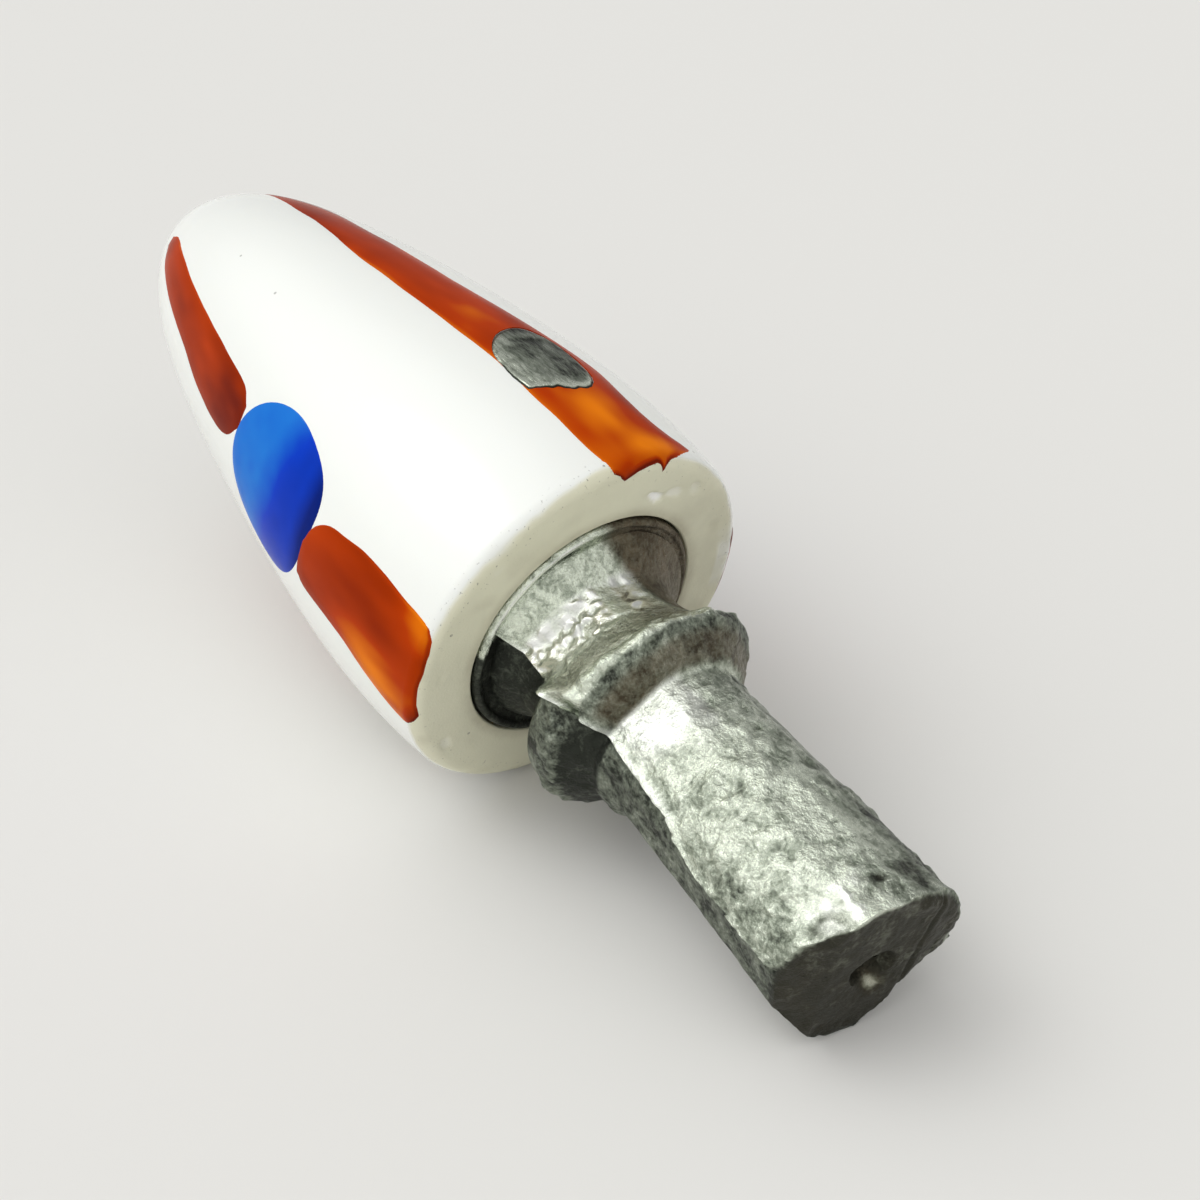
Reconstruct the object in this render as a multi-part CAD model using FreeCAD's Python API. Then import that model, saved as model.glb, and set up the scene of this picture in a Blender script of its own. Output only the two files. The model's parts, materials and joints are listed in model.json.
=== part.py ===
"""Trolling lure head: a hollow bullet of glazed porcelain on a cast lead core.

Every length is in millimetres, every angle in degrees. The parts are drawn in the head's own
frame: the origin is the centre of the head's flat face, x runs along the head's axis towards the
stem, y is to the right and z is up when the lure is seen from behind its stem with the nose away
from the viewer turned to the left. Angles about the axis are 0 on top and grow towards the left
side (-y). At the end the whole lure is tipped until it lies on the plane z = 0, on the rim of its
face and on the end of its stem.
"""
import FreeCAD, Part
import math
import os

V = FreeCAD.Vector
ORIGIN = V(0, 0, 0)
AXIS_X, AXIS_Y, AXIS_Z = V(1, 0, 0), V(0, 1, 0), V(0, 0, 1)

# ---- porcelain head: radii of its outline, each at a distance ahead of the flat face ----
HEAD_LENGTH = 38.1
FACE_RADIUS = 10.0
SHOULDER_RADIUS, SHOULDER_AT = 10.4, 5.5
FLANK_RADIUS, FLANK_AT = 8.85, 20.0
CHEEK_RADIUS, CHEEK_AT = 6.4, 30.5
SNOUT_RADIUS, SNOUT_AT = 3.6, 36.15
FACE_EDGE_ROUND = 0.8
SHELL_WALL = 1.7
MOUTH_RADIUS = 6.7
MOUTH_DEPTH = 3.5

# ---- lead core: tang and plug in the head, then neck, collar and stem on a leaning axis ----
PLUG_GAP = 0.1
TANG_RADIUS, TANG_END, TANG_ROUND = 4.0, 12.4, 0.8
BEAD_HEIGHT, BEAD_WIDTH, BEAD_ROUND = 0.3, 1.0, 0.35
STEM_LEAN = 2.6
STEM_SHIFT_Y, STEM_SHIFT_Z = -0.4, -0.28
NECK_FOOT_RADIUS, NECK_FOOT_LENGTH = 5.45, 1.3
NECK_RADIUS, NECK_END = 4.65, 3.0
NECK_FOOT_ROUND, NECK_END_ROUND = 1.2, 0.9
COLLAR_RADIUS, COLLAR_FRONT, COLLAR_BACK = 6.05, 4.7, 5.6
COLLAR_FRONT_ROUND, COLLAR_BACK_ROUND = 0.35, 0.7
HEEL_RADIUS, HEEL_AT, HEEL_ROUND = 4.85, 7.4, 0.3
STEM_START_RADIUS, STEM_START, STEM_START_ROUND = 4.12, 7.75, 0.2
STEM_END_RADIUS, STEM_END = 4.8, 22.5
END_CUT_TILT = 8.0
PARTING_ANGLE = 66.0
HALF_MISMATCH = 0.35
FLASH_THICKNESS, FLASH_PROUD = 0.25, 0.22

# ---- lead pin through both walls of the head and the tang, its ends filed flush ----
PIN_RADIUS = 2.75
PIN_AT = 8.5
PIN_ANGLE = -16.5
PIN_GAP = 0.05

# ---- leader tube, from the nose to the end of the stem ----
TUBE_RADIUS = 0.9
TUBE_BORE_RADIUS = 0.6
TUBE_RECESS = 0.3
TUBE_GAP = 0.02
NOSE_PASSAGE_GAP = 0.1

# ---- fired enamel: thin strokes and dots that lie on the glaze ----
ENAMEL = 0.15
ENAMEL_GAP = 0.02
STROKE_TURN = -2.0
LEFT_FRONT_ANGLE, LEFT_REAR_ANGLE = 66.0, 80.0
RIGHT_FRONT_ANGLE, RIGHT_REAR_ANGLE = -112.0, -101.0
LONG_DRIFT, FRONT_DRIFT = 0.02, 0.12
STROKE_TIP = 33.2
STROKE_NOSE_HALF_WIDTH, STROKE_NOSE_AT = 1.6, 28.5
STROKE_BESIDE_PIN = 0.55
FRONT_STROKE_END = 17.4
REAR_STROKE_START = 10.6
BOTTOM_STROKE_END = 3.0
EYE_RADIUS, EYE_AT = 4.5, 14.2
LEFT_EYE_ANGLE, RIGHT_EYE_ANGLE = 77.0, -103.0
DOT_GAP = 0.05

# the two long strokes run past the pin's ends, nearly centred on them
TOP_ANGLE, BOTTOM_ANGLE = PIN_ANGLE + STROKE_TURN, PIN_ANGLE + STROKE_TURN + 180.0
STROKE_HALF_WIDTH = PIN_RADIUS + PIN_GAP + STROKE_BESIDE_PIN

# longer than the lure, for blocks and prisms that cut right through it, and a hair's breadth
REACH = 2 * (HEAD_LENGTH + STEM_END)
CLOSE = 0.01
# where the swept surfaces of the head begin and end, on bare glaze between two strokes
SEAM_ANGLE = 30.0


def outline(corners):
    """Closed outline in the xz plane through (x, radius, rounding) corners with tangent arcs."""
    edges = []
    last = V(corners[0][0], 0, corners[0][1])
    for before, here, after in zip(corners, corners[1:], corners[2:]):
        corner = V(here[0], 0, here[1])
        back = (V(before[0], 0, before[1]) - corner).normalize()
        ahead = (V(after[0], 0, after[1]) - corner).normalize()
        half_angle = back.getAngle(ahead) / 2
        rounding = here[2]
        if rounding == 0:
            edges.append(Part.makeLine(last, corner))
            last = corner
            continue
        start = corner + back * (rounding / math.tan(half_angle))
        end = corner + ahead * (rounding / math.tan(half_angle))
        to_arc = rounding / math.sin(half_angle) - rounding
        middle = corner + (back + ahead).normalize() * to_arc
        edges.append(Part.makeLine(last, start))
        edges.append(Part.Arc(start, middle, end).toShape())
        last = end
    end = V(corners[-1][0], 0, corners[-1][1])
    edges.append(Part.makeLine(last, end))
    edges.append(Part.makeLine(end, V(corners[0][0], 0, corners[0][1])))
    return Part.Wire(edges)


def spin(wire, angle=360.0):
    """The solid swept by an outline in the xz plane as it turns about the x axis."""
    return Part.Face(wire).revolve(ORIGIN, AXIS_X, angle)


def turned(shape, angle):
    """A copy turned about the head's axis, from the top towards the left side."""
    copy = shape.copy()
    copy.rotate(ORIGIN, AXIS_X, angle)
    return copy


def flank(grow):
    """The head's outline from the rim of its face to its nose, moved outwards by grow."""
    upper = [
        V(-at, 0, radius + grow)
        for at, radius in (
            (0.0, FACE_RADIUS),
            (SHOULDER_AT, SHOULDER_RADIUS),
            (FLANK_AT, FLANK_RADIUS),
            (CHEEK_AT, CHEEK_RADIUS),
            (SNOUT_AT + min(grow, 0.0), SNOUT_RADIUS),
        )
    ]
    nose = V(-HEAD_LENGTH - grow, 0, 0)
    lower = [V(point.x, 0, -point.z) for point in reversed(upper)]
    side = Part.BSplineCurve()
    side.interpolate(Points=upper + [nose] + lower)
    side.segment(side.FirstParameter, side.parameter(nose))
    return side.toShape(), upper[0], nose


def bullet(grow):
    """The solid inside the head's outline, its side moved outwards by grow."""
    side, rim, nose = flank(grow)
    wire = Part.Wire([side, Part.makeLine(nose, ORIGIN), Part.makeLine(ORIGIN, rim)])
    return turned(spin(wire), SEAM_ANGLE)


def enamel_skin():
    """The whole layer that the enamel is cut from: the space just outside the glaze."""
    outer, outer_rim, outer_nose = flank(ENAMEL)
    inner, inner_rim, inner_nose = flank(ENAMEL_GAP)
    ends = [Part.makeLine(outer_nose, inner_nose), Part.makeLine(inner_rim, outer_rim)]
    return turned(spin(Part.Wire([outer, ends[0], inner, ends[1]])), SEAM_ANGLE)


def on_stem_axis(shape):
    """A copy moved from the head's axis to the leaning axis of neck, collar and stem."""
    copy = shape.copy()
    copy.rotate(ORIGIN, AXIS_Z, -STEM_LEAN)
    copy.translate(V(0, STEM_SHIFT_Y, STEM_SHIFT_Z))
    return copy


def stem_corners(grow):
    """Outline of neck, collar and stem: place along the stem's axis, radius, rounding."""
    draft = (STEM_END_RADIUS - STEM_START_RADIUS) / (STEM_END - STEM_START)
    beyond = STEM_END + STEM_END_RADIUS
    beyond_radius = STEM_END_RADIUS + draft * STEM_END_RADIUS
    return [
        (-NECK_FOOT_LENGTH, 0.0, 0.0),
        (-NECK_FOOT_LENGTH, NECK_FOOT_RADIUS + grow, 0.0),
        (0.0, NECK_FOOT_RADIUS + grow, 0.0),
        (NECK_FOOT_LENGTH, NECK_RADIUS + grow, NECK_FOOT_ROUND),
        (NECK_END, NECK_RADIUS + grow, NECK_END_ROUND),
        (COLLAR_FRONT, COLLAR_RADIUS + grow, COLLAR_FRONT_ROUND),
        (COLLAR_BACK, COLLAR_RADIUS + grow, COLLAR_BACK_ROUND),
        (HEEL_AT, HEEL_RADIUS + grow, HEEL_ROUND),
        (STEM_START, STEM_START_RADIUS + grow, STEM_START_ROUND),
        (beyond, beyond_radius + grow, 0.0),
        (beyond, 0.0, 0.0),
    ]


def mould_half(side):
    """Half of neck, collar and stem. side is 1 for the upper mould, -1 for the lower one."""
    half = turned(spin(outline(stem_corners(0.0)), -180.0 * side), PARTING_ANGLE)
    if side < 0:
        half.translate(turned(Part.Vertex(0, 0, -HALF_MISMATCH), PARTING_ANGLE).Point)
    return half


def flash_fin():
    """The thin fin of metal that ran between the two halves of the mould, behind the head."""
    face = Part.Face(outline(stem_corners(FLASH_PROUD)))
    face.translate(V(0, -FLASH_THICKNESS / 2, 0))
    fin = face.extrude(V(0, FLASH_THICKNESS, 0))
    fin = fin.fuse(turned(fin, 180.0))
    behind_head = Part.makeBox(REACH, REACH, REACH, V(FLASH_THICKNESS, -REACH / 2, -REACH / 2))
    return turned(fin.common(behind_head), PARTING_ANGLE)


def end_cut():
    """Block that trims the stem's end on a slant, so that its right side is longer."""
    block = Part.makeBox(REACH, REACH, REACH, V(0, -REACH / 2, -REACH / 2))
    block.rotate(ORIGIN, AXIS_Z, END_CUT_TILT)
    block.translate(V(STEM_END, 0, 0))
    return on_stem_axis(block)


def plug():
    """The core inside the head: tang, plug in the mouth and the round bead at its rim."""
    radius = MOUTH_RADIUS - PLUG_GAP
    corners = [
        (-TANG_END, 0.0, 0.0),
        (-TANG_END, TANG_RADIUS, TANG_ROUND),
        (-MOUTH_DEPTH, TANG_RADIUS, 0.0),
        (-MOUTH_DEPTH, radius, BEAD_ROUND),
        (BEAD_HEIGHT, radius, BEAD_ROUND),
        (BEAD_HEIGHT, radius - BEAD_WIDTH / 2, 0.0),
        (-BEAD_HEIGHT, radius - BEAD_WIDTH, 0.0),
        (-BEAD_HEIGHT, 0.0, 0.0),
    ]
    return spin(outline(corners))


def pin_rod(grow):
    """Rod through the head across its axis, for the pin itself or for the hole around it."""
    rod = Part.makeCylinder(PIN_RADIUS + grow, REACH, V(-PIN_AT, 0, -REACH / 2), AXIS_Z)
    return turned(rod, PIN_ANGLE)


def tube_ends():
    """Nose end and stem end of the leader tube's axis."""
    return V(-HEAD_LENGTH, 0, 0), on_stem_axis(Part.Vertex(STEM_END, 0, 0)).Point


def along_tube(radius, inset):
    """Cylinder on the tube's axis that stops short of both ends by inset."""
    nose, end = tube_ends()
    direction = (end - nose).normalize()
    return Part.makeCylinder(
        radius, (end - nose).Length - 2 * inset, nose + direction * inset, direction
    )


def dot_prism(radius, angle):
    """Round prism that cuts an eye dot, standing on the head's axis."""
    return turned(Part.makeCylinder(radius, REACH, V(-EYE_AT, 0, 0), AXIS_Z), angle)


def stroke_prism(stations, blunt, drift, angle):
    """Prism that cuts one brush stroke out of the enamel's skin.

    stations are (distance ahead of the face, half width), from the tip to the rear end. A blunt
    stroke ends square, any other in a point. drift shifts the stroke sideways by so many
    millimetres for each millimetre towards the face.
    """
    middle = (stations[0][0] + stations[-1][0]) / 2

    def spot(at, across):
        return V(-at, across - drift * (middle - at), 0)

    tip = spot(stations[0][0], 0)
    inner = stations[1:-1]
    right = [spot(at, half) for at, half in reversed(inner)]
    left = [spot(at, -half) for at, half in inner]
    end_at, end_half = stations[-1]
    curve = Part.BSplineCurve()
    if blunt:
        start, end = spot(end_at, end_half), spot(end_at, -end_half)
        curve.interpolate(Points=[start] + right + [tip] + left + [end])
        wire = Part.Wire([curve.toShape(), Part.makeLine(end, start)])
    else:
        curve.interpolate(Points=[spot(end_at, 0)] + right + [tip] + left, PeriodicFlag=True)
        wire = Part.Wire([curve.toShape()])
    return turned(Part.Face(wire).extrude(V(0, 0, REACH)), angle)


def long_stroke(end):
    """Stations of a stroke that runs past the pin, from the nose to its end near the face."""
    waist = (STROKE_NOSE_AT + PIN_AT) / 2
    return [
        (STROKE_TIP, 0.0),
        (STROKE_NOSE_AT, STROKE_NOSE_HALF_WIDTH),
        (waist, (STROKE_NOSE_HALF_WIDTH + STROKE_HALF_WIDTH) / 2),
        (PIN_AT, STROKE_HALF_WIDTH),
        (end, STROKE_HALF_WIDTH),
    ]


# ---- porcelain head ----
blank = bullet(0.0)
face_rim = [edge for edge in blank.Edges if edge.BoundBox.XMin > -CLOSE]
blank = blank.makeFillet(FACE_EDGE_ROUND, face_rim)
mouth = Part.makeCylinder(MOUTH_RADIUS, REACH, V(-MOUTH_DEPTH, 0, 0), AXIS_X)
behind_mouth = Part.makeBox(REACH, REACH, REACH, V(-MOUTH_DEPTH - REACH, -REACH / 2, -REACH / 2))
hollow = bullet(-SHELL_WALL).common(behind_mouth)
pin_hole = pin_rod(PIN_GAP)
passage = along_tube(TUBE_RADIUS + NOSE_PASSAGE_GAP, -REACH)
head = blank.cut([mouth, hollow, pin_hole, passage])

# ---- lead core and its pin ----
stem = mould_half(1).fuse([mould_half(-1), flash_fin()])
stem = on_stem_axis(stem).cut(end_cut())
core = plug().fuse(stem).removeSplitter()
tube_hole = along_tube(TUBE_RADIUS + TUBE_GAP, -REACH)
core = core.cut([tube_hole, pin_hole])
pin = pin_rod(0.0).common(blank).cut(tube_hole)

# ---- leader tube ----
tube = along_tube(TUBE_RADIUS, TUBE_RECESS).cut(along_tube(TUBE_BORE_RADIUS, 0.0))

# ---- enamel strokes and dots ----
skin = enamel_skin()
front_stroke = [
    (STROKE_TIP, 0.0),
    (STROKE_NOSE_AT, STROKE_NOSE_HALF_WIDTH),
    ((STROKE_NOSE_AT + FRONT_STROKE_END) / 2, STROKE_NOSE_HALF_WIDTH),
    (FRONT_STROKE_END, 0.0),
]
rear_stroke = [
    (REAR_STROKE_START, 0.0),
    ((REAR_STROKE_START + FACE_EDGE_ROUND) / 2, (STROKE_NOSE_HALF_WIDTH + STROKE_HALF_WIDTH) / 2),
    (FACE_EDGE_ROUND, STROKE_HALF_WIDTH),
]
left_eye_room = dot_prism(EYE_RADIUS + DOT_GAP, LEFT_EYE_ANGLE)
right_eye_room = dot_prism(EYE_RADIUS + DOT_GAP, RIGHT_EYE_ANGLE)


def stroke(stations, blunt, drift, angle, room):
    """One enamel stroke on the glaze, cut clear of the dot beside it."""
    return skin.common(stroke_prism(stations, blunt, drift, angle)).cut(room)


top = long_stroke(FACE_EDGE_ROUND)
bottom = long_stroke(BOTTOM_STROKE_END)
nodes = {
    "porcelain_head": head,
    "lead_core": core,
    "cross_pin": pin,
    "leader_tube": tube,
    "stripe_top": stroke(top, True, LONG_DRIFT, TOP_ANGLE, pin_hole),
    "stripe_bottom": stroke(bottom, True, LONG_DRIFT, BOTTOM_ANGLE, pin_hole),
    "stripe_left_front": stroke(front_stroke, False, FRONT_DRIFT, LEFT_FRONT_ANGLE, left_eye_room),
    "stripe_left_rear": stroke(rear_stroke, True, 0.0, LEFT_REAR_ANGLE, left_eye_room),
    "stripe_right_front": stroke(front_stroke, False, FRONT_DRIFT, RIGHT_FRONT_ANGLE, right_eye_room),
    "stripe_right_rear": stroke(rear_stroke, True, 0.0, RIGHT_REAR_ANGLE, right_eye_room),
    "eye_left": skin.common(dot_prism(EYE_RADIUS, LEFT_EYE_ANGLE)),
    "eye_right": skin.common(dot_prism(EYE_RADIUS, RIGHT_EYE_ANGLE)),
}


# ---- lay the lure down: rim of the face and end of the stem on the plane z = 0 ----
def tipped(shape, tilt):
    """A copy tipped nose up by tilt."""
    copy = shape.copy()
    copy.rotate(ORIGIN, AXIS_Y, tilt)
    return copy


def underside(shape, tilt):
    """Height of the lowest point of the shape once it is tipped."""
    return tipped(shape, tilt).optimalBoundingBox(False, False).ZMin


TILT_STEP = 1e-3
level, steep = 0.0, 45.0
while steep - level > TILT_STEP:
    tilt = (level + steep) / 2
    if underside(stem, tilt) > underside(blank, tilt):
        level = tilt
    else:
        steep = tilt
box = tipped(Part.makeCompound([blank, core]), tilt).optimalBoundingBox(False, False)
to_origin = V(-(box.XMin + box.XMax) / 2, -(box.YMin + box.YMax) / 2, -box.ZMin)


def placed(shape):
    """A copy as it lies, with the origin under the middle of the lure."""
    copy = tipped(shape, tilt)
    copy.translate(to_origin)
    return copy


os.makedirs("parts", exist_ok=True)
for name, shape in nodes.items():
    solid = placed(shape)
    solid.exportStep("parts/" + name + ".step")
    print(name, len(solid.Solids), "solid, valid", solid.isValid(), "volume", round(solid.Volume, 2))
print("tilt", round(tilt, 3), "face centre", [round(c, 3) for c in to_origin])
for name, spot in zip(("nose", "stem end"), tube_ends()):
    print(name, [round(c, 3) for c in placed(Part.Vertex(spot)).Point])
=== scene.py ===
"""Looks for a trolling lure head: glazed porcelain, fired enamel and cast lead.

Shapes are worked out in millimetres in the head's own frame: x along the head's axis towards the
stem with 0 at the flat face, y to the right, z up. placed() then lays them where the frame's
solids lie, in metres. Angles about the axis are in degrees, 0 on top, growing to the left side.
"""
import json
import math

import bmesh
import bpy
import numpy as np
from bpy.props import FloatProperty, FloatVectorProperty, IntProperty, PointerProperty
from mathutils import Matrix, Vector
from mathutils.kdtree import KDTree


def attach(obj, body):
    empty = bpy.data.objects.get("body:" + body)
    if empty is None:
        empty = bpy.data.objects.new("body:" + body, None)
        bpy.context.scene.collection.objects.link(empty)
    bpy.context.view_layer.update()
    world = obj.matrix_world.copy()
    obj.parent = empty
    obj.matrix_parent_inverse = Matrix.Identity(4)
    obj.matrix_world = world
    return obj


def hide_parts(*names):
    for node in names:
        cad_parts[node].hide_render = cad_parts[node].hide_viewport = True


bl_info = {
    "name": "Trolling lure head",
    "version": (1, 0, 0),
    "blender": (4, 5, 0),
    "location": "View3D > Sidebar > Lure",
    "description": "Builds the porcelain head, its enamel, the cast lead core and a plain studio",
    "category": "Object",
}

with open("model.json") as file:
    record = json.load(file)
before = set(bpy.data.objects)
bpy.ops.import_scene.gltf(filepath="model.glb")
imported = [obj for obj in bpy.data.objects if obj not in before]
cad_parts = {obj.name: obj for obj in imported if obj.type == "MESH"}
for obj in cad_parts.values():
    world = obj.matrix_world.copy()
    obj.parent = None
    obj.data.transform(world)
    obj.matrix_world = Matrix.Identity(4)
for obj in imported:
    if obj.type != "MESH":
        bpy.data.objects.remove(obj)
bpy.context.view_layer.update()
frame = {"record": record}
MM = 0.001
MOUNTS = {mount["name"]: mount for mount in frame["record"]["mounts"]}

# the head's own axes in the frame, and the middle of its flat face
AXIS = np.array(MOUNTS["skirt_seat"]["axis"])
RIGHT = np.array((0.0, 1.0, 0.0))
UP = np.cross(AXIS, RIGHT)
SEAT_HEIGHT = 8.0
FACE = np.array(MOUNTS["skirt_seat"]["pos_m"]) - UP * SEAT_HEIGHT * MM

# outline of the head, as the solid has it
HEAD_LENGTH = 38.1
FACE_RADIUS = 10.0
RIM = 0.8
WALL = 1.7
MOUTH_RADIUS, MOUTH_DEPTH = 6.7, 3.5
PASSAGE_RADIUS = 1.0
STEM_END = 22.5


def linear(code):
    """Linear colour with alpha from an sRGB hex code."""
    channels = [int(code[i:i + 2], 16) / 255 for i in (1, 3, 5)]
    low = [c / 12.92 if c <= 0.04045 else ((c + 0.055) / 1.055) ** 2.4 for c in channels]
    return (*low, 1.0)


def tint(name, code):
    """A colour property for a user, which starts at an sRGB hex code."""
    return FloatVectorProperty(
        name=name, description=f"{name}, as linear colour", subtype="COLOR", size=4,
        min=0.0, max=1.0, default=linear(code),
    )


def length(name, about, default):
    """A length property for a user, in metres, given in millimetres."""
    return FloatProperty(
        name=name, description=about, default=default * MM, min=0.0, unit="LENGTH", precision=5
    )


class PorcelainSettings(bpy.types.PropertyGroup):
    """The slip-cast head and its glaze."""

    turn_segments: IntProperty(
        name="Turn segments", description="Faces around the head", default=256, min=32, max=512
    )
    warp: length("Warp", "How far firing has pulled the head out of round", 0.03)
    glaze: tint("Glaze", "#EEF0EB")
    bisque: tint("Bare porcelain", "#E5E3C9")
    # also the colour of the painted shade on the face's right side
    stain: tint("Stain", "#8F8468")


class EnamelSettings(bpy.types.PropertyGroup):
    """The fired enamel on the glaze."""

    thickness: length("Thickness", "How proud the enamel stands of the glaze", 0.05)
    thin_red: tint("Thin red", "#E87C0C")
    full_red: tint("Full red", "#B03804")
    pooled_red: tint("Pooled red", "#6A1602")
    # also the painted highlight on the eyes
    thin_and_lit_blue: tint("Thin blue", "#227BD2")
    full_blue: tint("Full blue", "#0B3ABC")
    pooled_blue: tint("Pooled blue", "#0A2072")


class LeadSettings(bpy.types.PropertyGroup):
    """The cast lead core, the pin that locks it and the tube for the leader."""

    bright: tint("Bright lead", "#DEE5D4")
    grey: tint("Grey skin", "#939B8B")
    # also the colour of the painted shade on the lead
    dark: tint("Dark oxide", "#383B35")
    brown: tint("Brown stain", "#5E4C36")
    brass: tint("Brass", "#7F6A3F")


class StageSettings(bpy.types.PropertyGroup):
    """The floor, the soft lights and the camera."""

    floor: tint("Floor", "#E2E1DD")
    azimuth: FloatProperty(
        name="Azimuth", description="Direction of the camera round the lure",
        default=math.radians(51.5), subtype="ANGLE",
    )
    elevation: FloatProperty(
        name="Elevation", description="Height of the camera above the horizon",
        default=math.radians(35.6), subtype="ANGLE",
    )
    distance: length("Distance", "From the camera to the point it looks at", 89.0)
    key_power: FloatProperty(
        name="Key power", description="Brightness of the soft light over the left side",
        default=1.28, min=0.0,
    )
    fill_power: FloatProperty(
        name="Fill power", description="Brightness of the soft light in front",
        default=0.75, min=0.0,
    )


# ---- places and how strongly something shows there ----
def xyz(x, y, z):
    """Points from their coordinates, which may be grids or single numbers."""
    return np.stack(np.broadcast_arrays(x, y, z), axis=-1)


def turned_out(x, angle, radius):
    """Points at an angle about the axis and a radius from it."""
    turn = np.radians(angle)
    return xyz(x, -radius * np.sin(turn), radius * np.cos(turn))


def around_axis(points):
    """Angle about the axis and radius of points."""
    y, z = points[..., 1], points[..., 2]
    return np.degrees(np.arctan2(-y, z)), np.hypot(y, z)


def turned_from(angle, start):
    """The shorter way round from start to an angle, in degrees."""
    return (angle - start + 180.0) % 360.0 - 180.0


def full_turn(count):
    """Evenly spaced turns right round, in radians."""
    return np.linspace(0.0, 2 * math.pi, count, endpoint=False)


def placed(points):
    """Points where they lie, in metres, none of them under the floor."""
    lying = FACE + (points @ np.array((AXIS, RIGHT, UP))) * MM
    lying[..., 2] = np.maximum(lying[..., 2], 0.0)
    return lying


def step(low, high, value):
    """0 at low, 1 at high, smooth between and level beyond. low may be the larger one."""
    t = np.clip((value - low) / (high - low), 0.0, 1.0)
    return t * t * (3.0 - 2.0 * t)


def between(start, full, fade, end, value):
    """1 from full to fade, 0 before start and after end, smooth between."""
    return step(start, full, value) * step(end, fade, value)


def hump(value, middle, width):
    """1 at the middle, dying away over about the width on both sides."""
    return np.exp(-(((value - middle) / width) ** 2))


def eased(at, places, values, shifts, period=None):
    """Values between the given places, with the corners eased over the shifts."""
    return sum(np.interp(at + shift, places, values, period=period) for shift in shifts) / len(shifts)


def ripple(points, size, seed):
    """Smooth noise from -1 to 1 at each point, whose waves are about size wide."""
    cells = 32
    lattice = np.random.default_rng(seed).uniform(-1.0, 1.0, (cells, cells, cells))
    # far enough along that no cell has a number below 0
    where = points / size + 100.0
    cell = np.floor(where).astype(int)
    part = where - cell
    part = part * part * (3.0 - 2.0 * part)
    total = np.zeros(points.shape[:-1])
    for corner in np.ndindex(2, 2, 2):
        at = (cell + corner) % cells
        weight = np.prod(np.where(corner, part, 1.0 - part), axis=-1)
        total += weight * lattice[at[..., 0], at[..., 1], at[..., 2]]
    return total


def nearest(points, known):
    """Which of the known points lies nearest to each point."""
    tree = KDTree(len(known))
    for index, place in enumerate(known):
        tree.insert(place, index)
    tree.balance()
    return np.array([tree.find(place)[1] for place in points])


# ---- meshes ----
def quads(rows, columns, closed=False):
    """Faces of a grid of rows by columns, joined round when closed."""
    i, j = np.meshgrid(np.arange(rows - 1), np.arange(columns if closed else columns - 1),
                       indexing="ij")
    k = (j + 1) % columns
    faces = np.stack((i * columns + j, i * columns + k, (i + 1) * columns + k,
                      (i + 1) * columns + j), axis=-1)
    return faces.reshape(-1, 4)


def sealed(mesh):
    """Merges points that lie in one place, and turns all faces outwards and smooth."""
    shape = bmesh.new()
    shape.from_mesh(mesh)
    bmesh.ops.remove_doubles(shape, verts=shape.verts, dist=1e-6)
    bmesh.ops.recalc_face_normals(shape, faces=shape.faces)
    shape.to_mesh(mesh)
    shape.free()
    mesh.shade_smooth()
    return mesh


def make_mesh(name, points, faces):
    """A sealed mesh."""
    mesh = bpy.data.meshes.new(name)
    mesh.from_pydata([tuple(p) for p in points], [], [tuple(int(v) for v in f) for f in faces])
    return sealed(mesh)


def coordinates(mesh):
    """The mesh's points as an array."""
    found = np.empty(len(mesh.vertices) * 3)
    mesh.vertices.foreach_get("co", found)
    return found.reshape(-1, 3)


def set_coordinates(mesh, points):
    """Moves the mesh's points."""
    mesh.vertices.foreach_set("co", points.ravel())
    mesh.update()


def paint(mesh, **layers):
    """Stores numbers for each point, which a material reads by the layer's name."""
    for name, values in layers.items():
        layer = mesh.attributes.new(name, "FLOAT", "POINT")
        layer.data.foreach_set("value", values.astype(np.float32))


def show(name, mesh):
    """An object for a mesh, at the origin."""
    mesh.name = name
    shown = bpy.data.objects.new(name, mesh)
    bpy.context.scene.collection.objects.link(shown)
    return shown


def modified(shown):
    """The mesh that an object's modifiers make of it."""
    return bpy.data.meshes.new_from_object(
        shown.evaluated_get(bpy.context.evaluated_depsgraph_get()))


def finished(name, mesh, material, solid, crease):
    """Dresses a mesh, hangs it on the root body and hides the solid it stands for. Edges bent by more
    than crease degrees are sharp."""
    mesh.set_sharp_from_angle(angle=math.radians(crease))
    mesh.materials.clear()
    mesh.materials.append(material)
    piece = show(name, mesh)
    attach(piece, "root")
    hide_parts(solid)


def cut(mesh, tool_mesh):
    """The mesh with the closed tool mesh taken out of it."""
    body, tool = show("body", mesh), show("tool", tool_mesh)
    carve = body.modifiers.new("carve", "BOOLEAN")
    carve.operation, carve.solver, carve.object = "DIFFERENCE", "EXACT", tool
    result = modified(body)
    for used in (body, tool):
        bpy.data.objects.remove(used)
    return result


# ---- the lathe: turns an outline about the head's axis ----
def node(tree, kind, links=None, **settings):
    """Adds one node. links maps its inputs to nodes, to sockets or to plain values; a node
    stands for its first output."""
    made = tree.nodes.new(kind)
    for name, value in settings.items():
        setattr(made, name, value)
    for name, source in (links or {}).items():
        if isinstance(source, bpy.types.Node):
            source = next(output for output in source.outputs if output.enabled)
        if isinstance(source, bpy.types.NodeSocket):
            tree.links.new(source, made.inputs[name])
        else:
            made.inputs[name].default_value = source
    return made


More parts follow.
